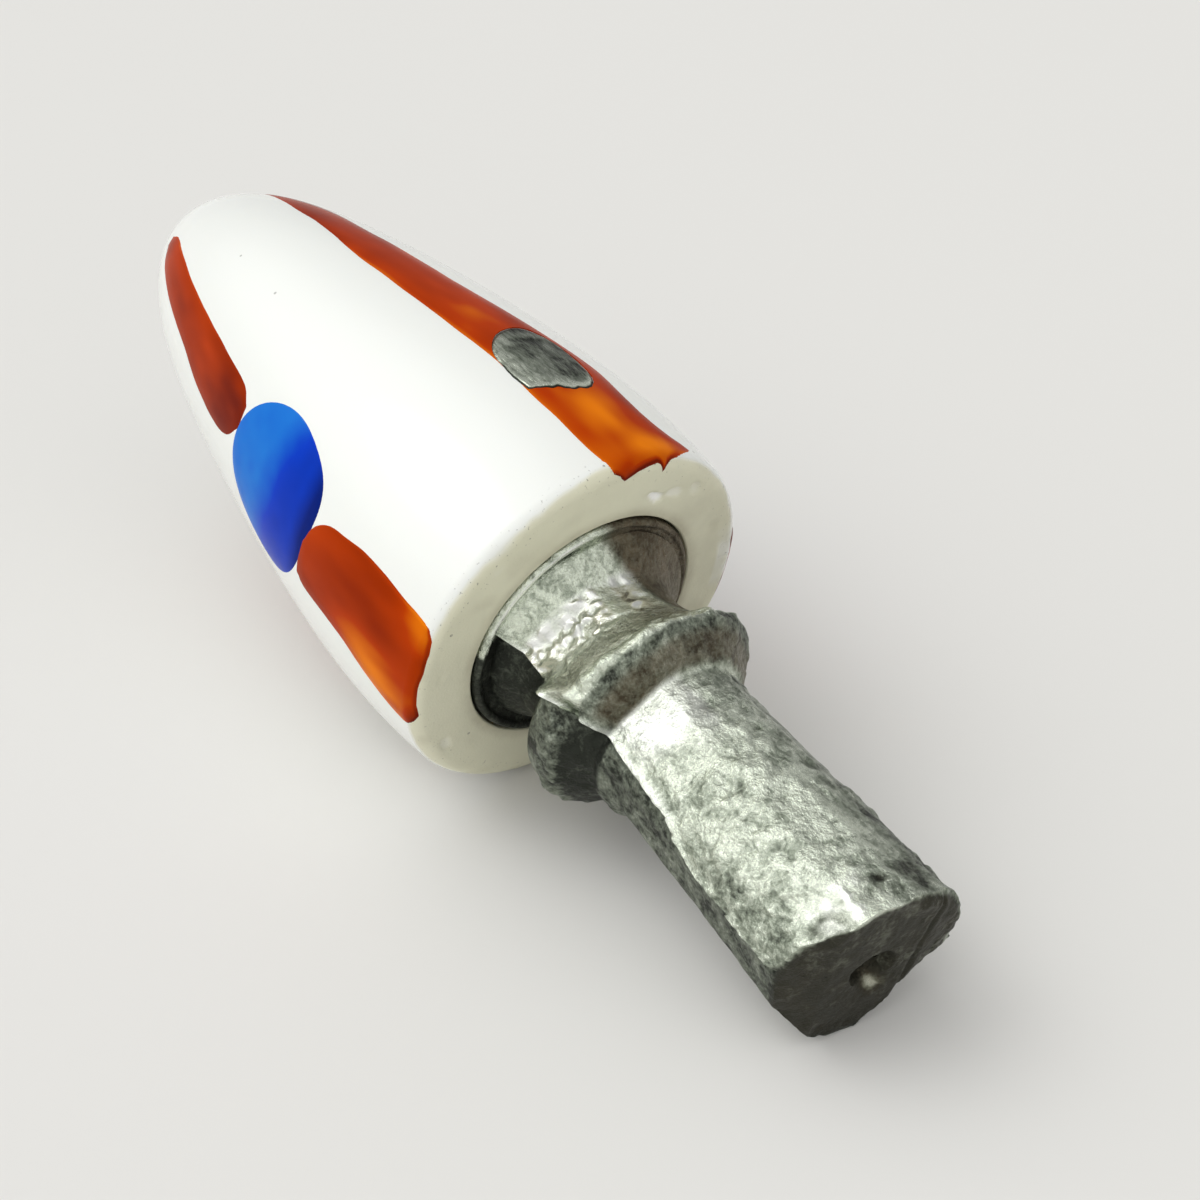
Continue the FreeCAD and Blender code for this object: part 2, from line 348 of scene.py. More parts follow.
def lathe_tree():
    """Geometry nodes that turn a row of outline points (x, 0, radius) into a closed surface."""
    tree = bpy.data.node_groups.new("lathe", "GeometryNodeTree")
    for name, kind in (("Outline", "Geometry"), ("Outline Points", "Int"),
                       ("Turn Segments", "Int"), ("Merge Distance", "Float"),
                       ("Finish", "Material")):
        tree.interface.new_socket(name, in_out="INPUT", socket_type="NodeSocket" + kind)
    tree.interface.new_socket("Turned", in_out="OUTPUT", socket_type="NodeSocketGeometry")
    given = node(tree, "NodeGroupInput").outputs
    columns = node(tree, "ShaderNodeMath", {0: given["Turn Segments"], 1: 1.0}, operation="ADD")
    grid = node(tree, "GeometryNodeMeshGrid", {
        "Vertices X": given["Outline Points"], "Vertices Y": columns})
    index = node(tree, "GeometryNodeInputIndex")
    ratio = node(tree, "ShaderNodeMath", {0: index, 1: columns}, operation="DIVIDE")
    row = node(tree, "ShaderNodeMath", {0: ratio}, operation="FLOOR")
    column = node(tree, "ShaderNodeMath", {0: index, 1: columns}, operation="MODULO")
    turn = node(tree, "ShaderNodeMath", {0: column, 1: given["Turn Segments"]},
                operation="DIVIDE")
    angle = node(tree, "ShaderNodeMath", {0: turn, 1: 2 * math.pi}, operation="MULTIPLY")
    place = node(tree, "GeometryNodeInputPosition")
    sample = node(tree, "GeometryNodeSampleIndex", {
        "Geometry": given["Outline"], "Value": place, "Index": row},
        data_type="FLOAT_VECTOR", domain="POINT")
    spun = node(tree, "ShaderNodeVectorRotate", {"Vector": sample, "Angle": angle},
                rotation_type="X_AXIS")
    turned = node(tree, "GeometryNodeSetPosition", {"Geometry": grid, "Position": spun})
    merged = node(tree, "GeometryNodeMergeByDistance", {
        "Geometry": turned, "Distance": given["Merge Distance"]})
    real = node(tree, "GeometryNodeRealizeInstances", {"Geometry": merged})
    dressed = node(tree, "GeometryNodeSetMaterial", {
        "Geometry": real, "Material": given["Finish"]})
    node(tree, "NodeGroupOutput", {"Turned": dressed})
    return tree


def lathed(name, outline, segments, material):
    """The surface that the lathe makes of an outline of (x, radius) points."""
    row = bpy.data.meshes.new(name)
    row.from_pydata([(x, 0.0, radius) for x, radius in outline],
                    [(i, i + 1) for i in range(len(outline) - 1)], [])
    blank = show(name, row)
    tree = bpy.data.node_groups.get("lathe") or lathe_tree()
    lathe = blank.modifiers.new("lathe", "NODES")
    lathe.node_group = tree
    sizes = {"Outline Points": len(outline), "Turn Segments": segments,
             "Merge Distance": 1e-4, "Finish": material}
    for item in tree.interface.items_tree:
        if item.item_type == "SOCKET" and item.name in sizes:
            lathe[item.identifier] = sizes[item.name]
    mesh = modified(blank)
    blank.modifiers.remove(lathe)
    bpy.data.objects.remove(blank)
    return sealed(mesh)


# ---- the glaze: where a point of the head's skin lies ----
def flank_radius(behind_face):
    """Radius of the head at a distance ahead of its flat face."""
    t = np.clip(np.asarray(behind_face, dtype=float) / HEAD_LENGTH, 0.0, 1.0)
    swell = (1.0 - t) * (1.0 + 2.313 * t - 3.678 * t**2 + 3.012 * t**3)
    return FACE_RADIUS * np.sqrt(np.maximum(swell, 0.0))


def skin(along, angle, lift=0.0):
    """Points of the glaze, lifted off it. along is the way from the face's rim to the nose; below
    RIM it runs round the rim and on over the flat face."""
    along, angle, lift = np.broadcast_arrays(*(np.asarray(v, float) for v in (along, angle, lift)))
    ahead, near = np.maximum(along, RIM), 0.05
    tilt = np.arctan((flank_radius(ahead + near) - flank_radius(ahead - near)) / (2 * near))
    bend = np.clip((RIM - along) / RIM, 0.0, math.pi / 2)
    over = np.maximum((RIM - along) - RIM * math.pi / 2, 0.0)
    rounded = along < RIM
    x = np.where(rounded, -RIM + RIM * np.sin(bend), -ahead)
    radius = np.where(rounded, flank_radius(RIM) - RIM + RIM * np.cos(bend) - over,
                      flank_radius(ahead))
    normal_x = np.where(rounded, np.sin(bend), np.sin(tilt))
    normal_r = np.where(rounded, np.cos(bend), np.cos(tilt))
    return turned_out(x + lift * normal_x, angle, radius + lift * normal_r)


# ---- materials ----
def new_material(name):
    """An empty node material, its tree and its object coordinates."""
    material = bpy.data.materials.new(name)
    material.use_nodes = True
    tree = material.node_tree
    tree.nodes.clear()
    return material, tree, node(tree, "ShaderNodeTexCoord").outputs["Object"]


def set_surface(tree, surface):
    """Ends a material with what its surface is set to or linked to."""
    shader = node(tree, "ShaderNodeBsdfPrincipled", surface)
    node(tree, "ShaderNodeOutputMaterial", {"Surface": shader})


def per_metre(size):
    """Scale of a texture whose waves are size millimetres wide."""
    return 1.0 / (size * MM)


def set_bands(ramp, low, middle, high):
    """Gives a colour ramp three bands, each a place and a colour."""
    bands = ramp.color_ramp.elements
    bands[0].position, bands[0].color = low
    bands[1].position, bands[1].color = high
    bands.new(middle[0]).color = middle[1]


def porcelain_material(look):
    """Glazed porcelain: a hard white body under clear glass, so it is bright and glass-smooth on
    the outside, and chalky, cream and faintly stained where the end was ground bare, with painted
    shade on the face's right side."""
    material, tree, place = new_material("glazed_porcelain")
    bare, grime, border, chip = (
        node(tree, "ShaderNodeAttribute", attribute_name=layer).outputs["Fac"]
        for layer in ("bare", "grime", "border", "chip"))
    cloud = node(tree, "ShaderNodeTexNoise", {
        "Vector": place, "Scale": per_metre(2.5), "Detail": 4.0, "Roughness": 0.6})
    grit = node(tree, "ShaderNodeTexNoise", {
        "Vector": place, "Scale": per_metre(0.22), "Detail": 3.0, "Roughness": 0.7})
    # fine dust along the glaze's border
    dust = node(tree, "ShaderNodeTexNoise", {
        "Vector": place, "Scale": per_metre(0.16), "Detail": 1.0})
    grains = node(tree, "ShaderNodeMapRange", {
        "Value": dust, "From Min": 0.68, "From Max": 0.78, "To Max": 0.6})
    dusty = node(tree, "ShaderNodeMath", {0: grains, 1: border}, operation="MULTIPLY")
    # rare dark specks in the body: the middles of one cell in five
    speck = node(tree, "ShaderNodeTexVoronoi", {"Vector": place, "Scale": per_metre(1.6)})
    small = node(tree, "ShaderNodeMath", {0: speck, 1: 0.055}, operation="LESS_THAN")
    chance = node(tree, "ShaderNodeSeparateColor", {"Color": speck.outputs["Color"]})
    rare = node(tree, "ShaderNodeMath", {0: chance, 1: 0.8}, operation="GREATER_THAN")
    spot = node(tree, "ShaderNodeMath", {0: small, 1: rare}, operation="MULTIPLY")
    dark = node(tree, "ShaderNodeMath", {0: spot, 1: 0.45, 2: dusty}, operation="MULTIPLY_ADD")
    smudge_and_shade = node(tree, "ShaderNodeMath", {0: grime, 1: cloud}, operation="MULTIPLY")
    colour = node(tree, "ShaderNodeMix", {
        "Factor": cloud, "A": look.bisque,
        "B": tuple(0.86 * c for c in look.bisque[:3]) + (1.0,)}, data_type="RGBA")
    colour = node(tree, "ShaderNodeMix", {
        "Factor": bare, "A": look.glaze, "B": colour}, data_type="RGBA")
    # stains and the painted shade on the face's right side, then fresh chips and dark specks
    for amount, over in ((smudge_and_shade, look.stain), (chip, linear("#FBFBF7")),
                         (dark, linear("#4A4236"))):
        colour = node(tree, "ShaderNodeMix", {
            "Factor": amount, "A": colour, "B": over}, data_type="RGBA")
    dull = node(tree, "ShaderNodeMapRange", {"Value": bare, "To Min": 0.07, "To Max": 0.5})
    depth = node(tree, "ShaderNodeMapRange", {"Value": bare, "To Min": 0.02, "To Max": 1.0})
    relief = node(tree, "ShaderNodeMath", {0: grit, 1: depth}, operation="MULTIPLY")
    bump = node(tree, "ShaderNodeBump", {
        "Height": relief, "Strength": 0.35, "Distance": 0.06 * MM})
    set_surface(tree, {
        "Base Color": colour, "Roughness": dull, "Normal": bump, "IOR": 1.52,
        "Subsurface Weight": 0.08, "Subsurface Radius": (1.0, 0.9, 0.75),
        "Subsurface Scale": 0.6 * MM})
    return material


def enamel_material(name, thin, full, pooled):
    """Fired enamel: coloured glass melted onto the glaze, so it is glossy, lets the white through
    where the brush left it thin, and goes dark where it ran together. On the eyes the same layer also
    holds a painted highlight."""
    material, tree, place = new_material(name)
    pool = node(tree, "ShaderNodeAttribute", attribute_name="pool").outputs["Fac"]
    ramp = node(tree, "ShaderNodeValToRGB", {"Fac": pool})
    set_bands(ramp, (0.0, thin), (0.45, full), (1.0, pooled))
    swirl = node(tree, "ShaderNodeTexNoise", {
        "Vector": place, "Scale": per_metre(0.5), "Detail": 2.0})
    bump = node(tree, "ShaderNodeBump", {
        "Height": swirl, "Strength": 0.08, "Distance": 0.05 * MM})
    set_surface(tree, {"Base Color": ramp, "Normal": bump, "Roughness": 0.2, "IOR": 1.45,
                       "Specular IOR Level": 0.03})
    return material


def lead_material(name, look, filed):
    """Cast lead: soft grey metal with a dull oxide skin, bright where it was rubbed, smoother and
    painted bright as a highlight where the foil layer says, and painted darker as shade where the
    shade layer says. The filed finish is for the pin, whose ends carry file strokes."""
    material, tree, place = new_material(name)
    rub, shade, rust, foil = (
        node(tree, "ShaderNodeAttribute", attribute_name=layer).outputs["Fac"]
        for layer in ("rub", "shade", "rust", "foil"))
    where = place
    if filed:
        where = node(tree, "ShaderNodeMapping", {
            "Vector": place, "Rotation": (0.2, 0.0, -0.35), "Scale": (0.45, 2.2, 2.2)})
    patch = node(tree, "ShaderNodeTexNoise", {
        "Vector": where, "Scale": per_metre(1.1), "Detail": 5.0, "Roughness": 0.68,
        "Distortion": 0.6})
    fine = node(tree, "ShaderNodeTexNoise", {
        "Vector": where, "Scale": per_metre(0.24), "Detail": 4.0, "Roughness": 0.7})
    # how much the skin is rubbed and lit: patches and grain, more where it was rubbed or has a
    # painted highlight, less where it has painted shade
    worn_and_lit = node(tree, "ShaderNodeMath", {0: patch, 1: 0.6}, operation="MULTIPLY")
    for source, share in ((fine, 0.4), (rub, 0.16), (shade, -0.13)):
        worn_and_lit = node(tree, "ShaderNodeMath", {0: source, 1: share, 2: worn_and_lit},
                    operation="MULTIPLY_ADD")
    ramp = node(tree, "ShaderNodeValToRGB", {"Fac": worn_and_lit})
    set_bands(ramp, (0.36, look.dark), (0.49, look.grey), (0.64, look.bright))
    # painted shade in the dark oxide colour, the brown stain, and a painted highlight in near white
    # where foil is, laid over the ramp
    gloom = node(tree, "ShaderNodeMath", {0: shade, 1: 0.5}, operation="MULTIPLY")
    stained = node(tree, "ShaderNodeMath", {0: rust, 1: patch}, operation="MULTIPLY")
    colour = ramp
    for amount, over in ((gloom, look.dark), (stained, look.brown), (foil, linear("#E9EAE4"))):
        colour = node(tree, "ShaderNodeMix", {
            "Factor": amount, "A": colour, "B": over}, data_type="RGBA")
    gloss = node(tree, "ShaderNodeMapRange", {
        "Value": worn_and_lit, "From Min": 0.36, "From Max": 0.64, "To Min": 0.5, "To Max": 0.17})
    smoothed = node(tree, "ShaderNodeMix", {"Factor": foil, "A": gloss, "B": 0.14},
                    data_type="FLOAT")
    if filed:
        height = node(tree, "ShaderNodeTexNoise", {
            "Vector": where, "Scale": per_metre(0.6), "Detail": 5.0, "Roughness": 0.65})
        strength, deep = 0.8, 0.1
    else:
        pits = node(tree, "ShaderNodeTexVoronoi", {"Vector": place, "Scale": per_metre(0.55)},
                    feature="SMOOTH_F1")
        height = node(tree, "ShaderNodeMath", {0: pits, 1: 0.45, 2: fine},
                      operation="MULTIPLY_ADD")
        strength, deep = 0.9, 0.13
    calm = node(tree, "ShaderNodeMapRange", {
        "Value": foil, "To Min": strength, "To Max": 0.25 * strength})
    bump = node(tree, "ShaderNodeBump", {
        "Height": height, "Strength": calm, "Distance": deep * MM})
    set_surface(tree, {"Base Color": colour, "Roughness": smoothed, "Normal": bump, "Metallic": 1.0})
    return material


def brass_material(look):
    """Drawn brass tube: yellow metal, dulled by handling and salt water."""
    material, tree, place = new_material("dulled_brass")
    tarnish = node(tree, "ShaderNodeTexNoise", {
        "Vector": place, "Scale": per_metre(0.6), "Detail": 4.0})
    tone = node(tree, "ShaderNodeMix", {
        "Factor": tarnish, "A": look.brass, "B": linear("#3A3020")}, data_type="RGBA")
    dull = node(tree, "ShaderNodeMapRange", {"Value": tarnish, "To Min": 0.25, "To Max": 0.5})
    set_surface(tree, {"Base Color": tone, "Roughness": dull, "Metallic": 1.0})
    return material


def floor_material(look):
    """Matt painted board: a pale, even studio floor with the faintest tooth."""
    material, tree, place = new_material("matt_board")
    tooth = node(tree, "ShaderNodeTexNoise", {
        "Vector": place, "Scale": per_metre(1.2), "Detail": 3.0})
    bump = node(tree, "ShaderNodeBump", {
        "Height": tooth, "Strength": 0.08, "Distance": 0.1 * MM})
    set_surface(tree, {"Base Color": look.floor, "Roughness": 0.8, "Normal": bump})
    return material


# ---- pin outline, shared by the pin, its holes and the strokes it breaks through ----
# way from the outline's middle at each turn in degrees: 0 towards the face, 90 left
PIN_SHAPE = ((-155, 3.25), (-125, 2.6), (-97, 2.2), (-67, 2.24), (-45, 2.62), (-25, 3.0),
             (-10, 2.98), (8, 2.74), (25, 2.55), (47, 2.95), (68, 2.35), (95, 2.05),
             (122, 2.2), (150, 2.45), (178, 2.85))
PIN_EASE = (-8, -4, 0, 4, 8)
# the outline's middle: ahead of the face, and left of the pin's axis, which leans to the right
PIN_MIDDLE_AT, PIN_MIDDLE_LEFT = 8.4, 0.7
PIN_ANGLE = math.radians(-16.5)
# turn towards which the pin's edge is torn and rubbed
PIN_LIP = 0.35


def pin_edge(turn, gap):
    """Outline of the pin's end: how far out it reaches at each turn."""
    turns, reaches = np.array(PIN_SHAPE).T
    reach = eased(np.degrees(turn), turns, reaches, PIN_EASE, period=360)
    torn = 0.05 * np.sin(17 * turn) + 0.03 * np.sin(31 * turn + 1.0)
    return reach + torn * step(0.5, 0.9, np.cos(turn - PIN_LIP)) + gap


def pin_points(share, turn, gap, lift, far):
    """Points over one end of the pin. far is True for the end on the other side of the head."""
    out = pin_edge(turn, gap) * share
    along = PIN_MIDDLE_AT - out * np.cos(turn)
    left = PIN_MIDDLE_LEFT + out * np.sin(turn)
    height = (-1.0 if far else 1.0) * (np.sqrt(flank_radius(along) ** 2 - left**2) + lift)
    return xyz(-along, -left * math.cos(PIN_ANGLE) - height * math.sin(PIN_ANGLE),
               -left * math.sin(PIN_ANGLE) + height * math.cos(PIN_ANGLE))


def pin_prism(gap):
    """Closed prism round the pin, a gap wider, that sticks out of the head at both ends."""
    count, reach = 180, 1.5
    turns = full_turn(count)
    points = np.concatenate([pin_points(1.0, turns, gap, reach, far) for far in (False, True)])
    ends = [tuple(range(count)), tuple(range(2 * count - 1, count - 1, -1))]
    return make_mesh("pin_prism", points, list(quads(2, count, closed=True)) + ends)


# ---- porcelain ----
def shell_outline():
    """Closed outline of the porcelain: outside, rim, face, mouth, hollow and nose passage."""
    # the outside from the nose to the rim, its points closer together towards the rim
    nose = HEAD_LENGTH - 0.1
    share = np.linspace(0.0, 1.0, 150)
    outside = nose + (RIM - nose) * (1.0 - (1.0 - share) ** 1.9)
    outside = outside[flank_radius(outside) > PASSAGE_RADIUS + 0.12]
    outline = [(-s, float(flank_radius(s))) for s in outside]
    centre = float(flank_radius(RIM)) - RIM
    outline += [(-RIM + RIM * math.sin(b), centre + RIM * math.cos(b))
                for b in np.linspace(0.0, math.pi / 2, 12)[1:]]
    lip = 0.12
    outline += [(0.0, r) for r in np.linspace(centre, MOUTH_RADIUS + lip, 22)[1:]]
    outline += [(-lip * (1 - math.cos(b)), MOUTH_RADIUS + lip - lip * math.sin(b))
                for b in np.linspace(0, math.pi / 2, 5)[1:]]
    outline += [(-x, MOUTH_RADIUS) for x in np.linspace(lip, MOUTH_DEPTH, 6)[1:]]
    inside = np.linspace(MOUTH_DEPTH, HEAD_LENGTH - 1.8, 46)
    room = flank_radius(inside) - WALL * np.sqrt(1 + np.gradient(flank_radius(inside), inside)**2)
    outline += [(-s, max(float(r), PASSAGE_RADIUS)) for s, r in zip(inside, room)]
    first = outline[0]
    outline += [(x, PASSAGE_RADIUS) for x in np.linspace(-HEAD_LENGTH + 1.6, first[0] + 0.05, 5)]
    return outline + [first]


# flakes and nicks in the flat face: angle, radius, width, depth and how fresh each is
CHIPS = ((-25, 7.8, 0.62, 0.2, 1.0), (-34, 8.2, 0.6, 0.07, 0.35), (-43, 8.9, 0.5, 0.12, 0.2),
         (-50, 9.3, 0.3, 0.12, -0.7), (61, 7.3, 0.4, 0.06, 0.0), (118, 8.8, 0.6, 0.08, 0.2),
         (-150, 8.2, 0.7, 0.14, 0.7), (84, 8.6, 0.35, 0.05, 0.0))


class LURE_OT_porcelain_head(bpy.types.Operator):
    """Turn the porcelain head on the lathe, drill it for the pin and dress it"""

    bl_idname = "lure.porcelain_head"
    bl_label = "Porcelain head"

    def execute(self, context):
        look = context.scene.lure_porcelain
        glaze = porcelain_material(look)
        mesh = lathed("shell", shell_outline(), look.turn_segments, glaze)
        mesh = cut(mesh, pin_prism(0.03))
        points = coordinates(mesh)
        angle, radius = around_axis(points)
        x = points[:, 0]
        outward = points * (0.0, 1.0, 1.0) / np.maximum(radius, 0.5)[:, None]
        # 1 on the outside, 0 in the hollow
        outer = step(0.35, 0.6, radius - (flank_radius(-x) - WALL))
        warp = ripple(points, 9.0, 3) * look.warp / MM * outer * step(0.0, 3.0, -x)
        points = points + outward * warp[:, None]
        # the ground face: shallow dishing by the grinder, and its chips
        on_face = step(-0.5, -0.1, x) * step(MOUTH_RADIUS - 0.3, MOUTH_RADIUS + 0.3, radius)
        dishing = 0.03 * ripple(points, 2.2, 5) + 0.018 * ripple(points, 0.8, 6)
        flake, fresh = np.zeros(len(points)), np.zeros(len(points))
        for at_angle, at_radius, wide, deep, new in CHIPS:
            sideways = np.radians(turned_from(angle, at_angle)) * radius
            away = np.hypot(sideways, (radius - at_radius) * 1.5) + 0.2 * ripple(points, 0.5, 7)
            flake += deep * step(wide, 0.4 * wide, away)
            fresh += new * step(0.8 * wide, 0.5 * wide, away)
        points[:, 0] += on_face * (np.minimum(dishing, 0.0) - flake)
        set_coordinates(mesh, placed(points))
        # the glaze was wiped off the face, up to a line that wanders over the rim
        line = -0.25 + 0.3 * ripple(points, 5.0, 4) + 0.07 * ripple(points, 0.6, 8)
        smear = step(0.25, 0.7, ripple(points, 1.6, 9))
        # darker round the mouth, in smears and in old chips; painted shade on the face's right side
        grime = 0.8 * step(MOUTH_RADIUS + 0.8, MOUTH_RADIUS, radius) + 0.3 * smear
        grime += 0.35 * step(-20.0, -60.0, angle) + 1.6 * np.maximum(-fresh, 0.0)
        paint(mesh, bare=np.maximum(step(line - 0.12, line + 0.12, x), 1.0 - outer),
              border=outer * hump(x, line, 0.45), grime=on_face * np.clip(grime, 0.0, 1.6),
              chip=on_face * np.clip(fresh, 0.0, 1.0))
        finished("porcelain_shell", mesh, glaze, "porcelain_head", crease=38)
        return {"FINISHED"}


# ---- enamel ----
# how far under the glaze the enamel's underside lies, and its upper side where it ends
SUNK, EDGE_SUNK = 0.09, 0.012
# how far from its edge the enamel has its full height
SHOULDER = 0.9


def enamel_piece(name, s, angle, edge, height, pool, material, solid, closed=False,
                 drilled=False):
    """A closed, thin patch of enamel on the glaze, from a grid of places, how far each lies from
    the patch's edge, how proud the patch stands and how thick the colour lies at each place, which on
    the eyes also holds a painted highlight. Closed patches are rings about a middle, and drilled ones
    let the pin through."""
    rows, columns = s.shape
    swell = 1.0 - np.clip(edge / SHOULDER, 0.0, 1.0)
    top = skin(s, angle, -EDGE_SUNK + (height + EDGE_SUNK) * (1.0 - swell**2)).reshape(-1, 3)
    under = skin(s, angle, -SUNK).reshape(-1, 3)
    count = rows * columns
    sheet = quads(rows, columns, closed)
    last = [count - columns + j for j in range(columns)]
    rim = last if closed else (
        list(range(columns)) + [i * columns + columns - 1 for i in range(1, rows)]
        + last[-2::-1] + [i * columns for i in range(rows - 2, 0, -1)])
    wall = [(a, b, b + count, a + count) for a, b in zip(rim, rim[1:] + rim[:1])]
    mesh = make_mesh(name, np.concatenate((top, under)), [*sheet, *(sheet + count), *wall])
    if drilled:
        mesh = cut(mesh, pin_prism(0.035))
    points = coordinates(mesh)
    known = nearest(points, skin(s, angle).reshape(-1, 3))
    paint(mesh, pool=np.clip(pool, 0.0, 1.0).ravel()[known])
    set_coordinates(mesh, placed(points))
    finished(name, mesh, material, solid, crease=50)


# brush strokes: way from the face, and the angles of the left and right edge there
STROKES = {
    "long": ((33.4, -18.5, -20.5), (32.2, -15.0, -24.0), (30.8, -11.0, -26.5),
             (29.2, -7.6, -27.5), (27.5, -5.3, -26.2), (25.8, -3.6, -24.2), (24.0, -2.8, -23.0),
             (20.6, -1.6, -21.6), (17.5, -0.8, -21.7), (15.0, -0.5, -23.4), (12.5, -0.1, -25.3),
             (9.0, -0.4, -28.2), (7.0, 0.0, -28.9), (5.0, 0.3, -27.6), (3.3, 0.7, -27.8),
             (2.2, 0.5, -29.5), (1.4, 0.0, -33.0), (0.9, -0.6, -38.5), (-0.6, -3.0, -39.0)),
    "front": ((34.6, 55.0, 50.5), (34.2, 61.0, 46.0), (33.4, 66.5, 45.0), (32.2, 69.7, 47.2),
              (30.7, 72.0, 49.8), (28.9, 74.6, 52.5), (26.7, 77.5, 54.0), (24.1, 82.2, 55.8),
              (22.0, 84.1, 57.2), (20.6, 84.0, 57.7), (19.6, 81.5, 57.6), (18.9, 78.0, 58.6),
              (18.5, 74.0, 61.0), (18.2, 70.0, 65.5)),
    "rear": ((10.35, 87.5, 82.0), (10.2, 90.0, 76.5), (9.9, 91.8, 71.5), (9.5, 92.4, 68.2),
             (9.0, 92.6, 65.8), (8.3, 92.5, 63.8), (7.0, 92.4, 63.0), (5.6, 92.8, 62.5),
             (4.4, 94.2, 62.8), (3.2, 96.3, 63.4), (2.0, 99.0, 63.8), (1.0, 100.8, 64.0),
             (0.4, 101.3, 64.5), (-0.3, 100.0, 67.0)),
}
# where the strokes' face ends stop, from their left edge, 0, to their right edge, 1
TAILS = {
    "long": ((0.0, -0.1), (0.06, -0.3), (0.11, -0.62), (0.16, -0.5), (0.24, -0.28),
             (0.36, -0.1), (0.46, 0.02), (0.50, -0.1), (0.53, -0.5), (0.56, -0.12),
             (0.62, 0.12), (0.72, 0.3), (0.86, 0.6), (1.0, 0.92)),
    "front": ((0.0, 18.2), (1.0, 18.2)),
    "rear": ((0.0, 0.55), (0.05, 0.1), (0.12, -0.18), (0.25, -0.06), (0.45, -0.02),
             (0.62, -0.12), (0.8, -0.06), (0.93, 0.1), (1.0, 0.45)),
}
STROKE_EASE = (-0.45, -0.15, 0.15, 0.45)


def stroke_pool(shape, s, v, behind_tail):
    """How much thicker a stroke's colour lies than it does all over: less in its light streaks,
    more where it ran together."""
    if shape == "long":
        light = hump(s, 3.9, 2.0) * hump(v, 0.40, 0.2)
        light += 0.8 * hump(s, 1.0, 0.7) * hump(v, 0.55, 0.35)
        light += 0.45 * hump(s, 13.4, 1.8) * hump(v, 0.4, 0.25)
        dark = 0.22 * step(0.5, 1.0, v) + 0.2 * step(20.0, 30.0, s)
        return dark - 0.42 * light + 0.8 * step(0.34, 0.14, behind_tail) * step(0.78, 0.6, v)
    if shape == "front":
        return 0.22 + 0.22 * step(24.5, 19.5, s) - 0.1 * step(0.5, 1.0, v)
    light = 1.1 * hump(s, 3.2, 2.5) * hump(v, 0.2, 0.27)
    light += 0.9 * hump(s, 0.9, 1.2) * hump(v, 0.95, 0.14)
    dark = 0.14 + 0.22 * hump(s, 4.5, 3.5) * hump(v, 0.62, 0.25)
    dark += 0.6 * step(0.9, 0.1, s) * step(0.3, 0.05, v) + 0.4 * step(0.3, 0.1, behind_tail)
    return dark - 0.45 * light


def stroke_piece(name, shape, turn, stop, seed, height, material, solid, drilled=False):
    """Paints one stroke: a shape of STROKES, turned about the axis and stopped early."""
    rows, columns = 150, 56
    edges = np.array(STROKES[shape])[::-1]
    v = np.linspace(0.0, 1.0, columns)[None, :]
    tail = np.interp(v, *np.array(TAILS[shape]).T)
    tail = tail if stop is None else stop + 0.2 * np.sin(9.0 * v)
    tip = edges[-1, 0]
    # rows from the tip to the tail, closer together at both
    share = np.linspace(0.0, 1.0, rows)[:, None]
    share = 0.6 * share + 0.4 * step(0.0, 1.0, share)
    s = tip + (tail - tip) * share
    left, right = (
        eased(s, edges[:, 0], edges[:, 1 + i], STROKE_EASE)
        + 0.6 * ripple(xyz(s, seed, 0.0), 1.9, seed + i) for i in (0, 1))
    angle = left + (right - left) * v
    round_here = np.radians(1.0) * np.maximum(flank_radius(np.maximum(s, RIM)), 1.0)
    from_side = np.minimum(left - angle, angle - right) * round_here
    edge = np.minimum(from_side, np.minimum(s - tail, tip - s) + 0.02)
    streak = skin(s, angle) * (0.4, 1.0, 1.0)
    pool = 0.44 + 0.17 * ripple(streak, 1.6, seed + 2) + 0.09 * ripple(streak, 0.6, seed + 3)
    pool += stroke_pool(shape, s, v, s - tail) - 0.22 * step(0.3, 0.0, edge)
    enamel_piece(name, s, angle + turn, edge, height, pool, material, solid,
                 drilled=drilled)


class LURE_OT_red_strokes(bpy.types.Operator):
    """Paint the six red-orange strokes of fired enamel"""

    bl_idname = "lure.red_strokes"
    bl_label = "Red strokes"

    def execute(self, context):
        look = context.scene.lure_enamel
        red = enamel_material("fired_red_enamel", look.thin_red, look.full_red, look.pooled_red)
        proud = look.thickness / MM
        stroke_piece("top_stroke", "long", 0.0, None, 11, proud, red, "stripe_top", True)
        stroke_piece("under_stroke", "long", 180.0, 3.0, 21, proud, red, "stripe_bottom", True)
        for side, turn, seed in (("left", 0.0, 31), ("right", -179.0, 51)):
            for shape, later, thick in (("front", 0, 0.8), ("rear", 9, 1.2)):
                stroke_piece(f"{side}_{shape}_stroke", shape, turn, None, seed + later,
                             thick * proud, red, f"stripe_{side}_{shape}")
        return {"FINISHED"}


# the eye's middle ahead of the face, and its radius
EYE_AT, EYE_RADIUS = 14.1, 4.5
# turn towards which the eye is drawn out, where the rear stroke meets it
EYE_TAIL = math.radians(213)


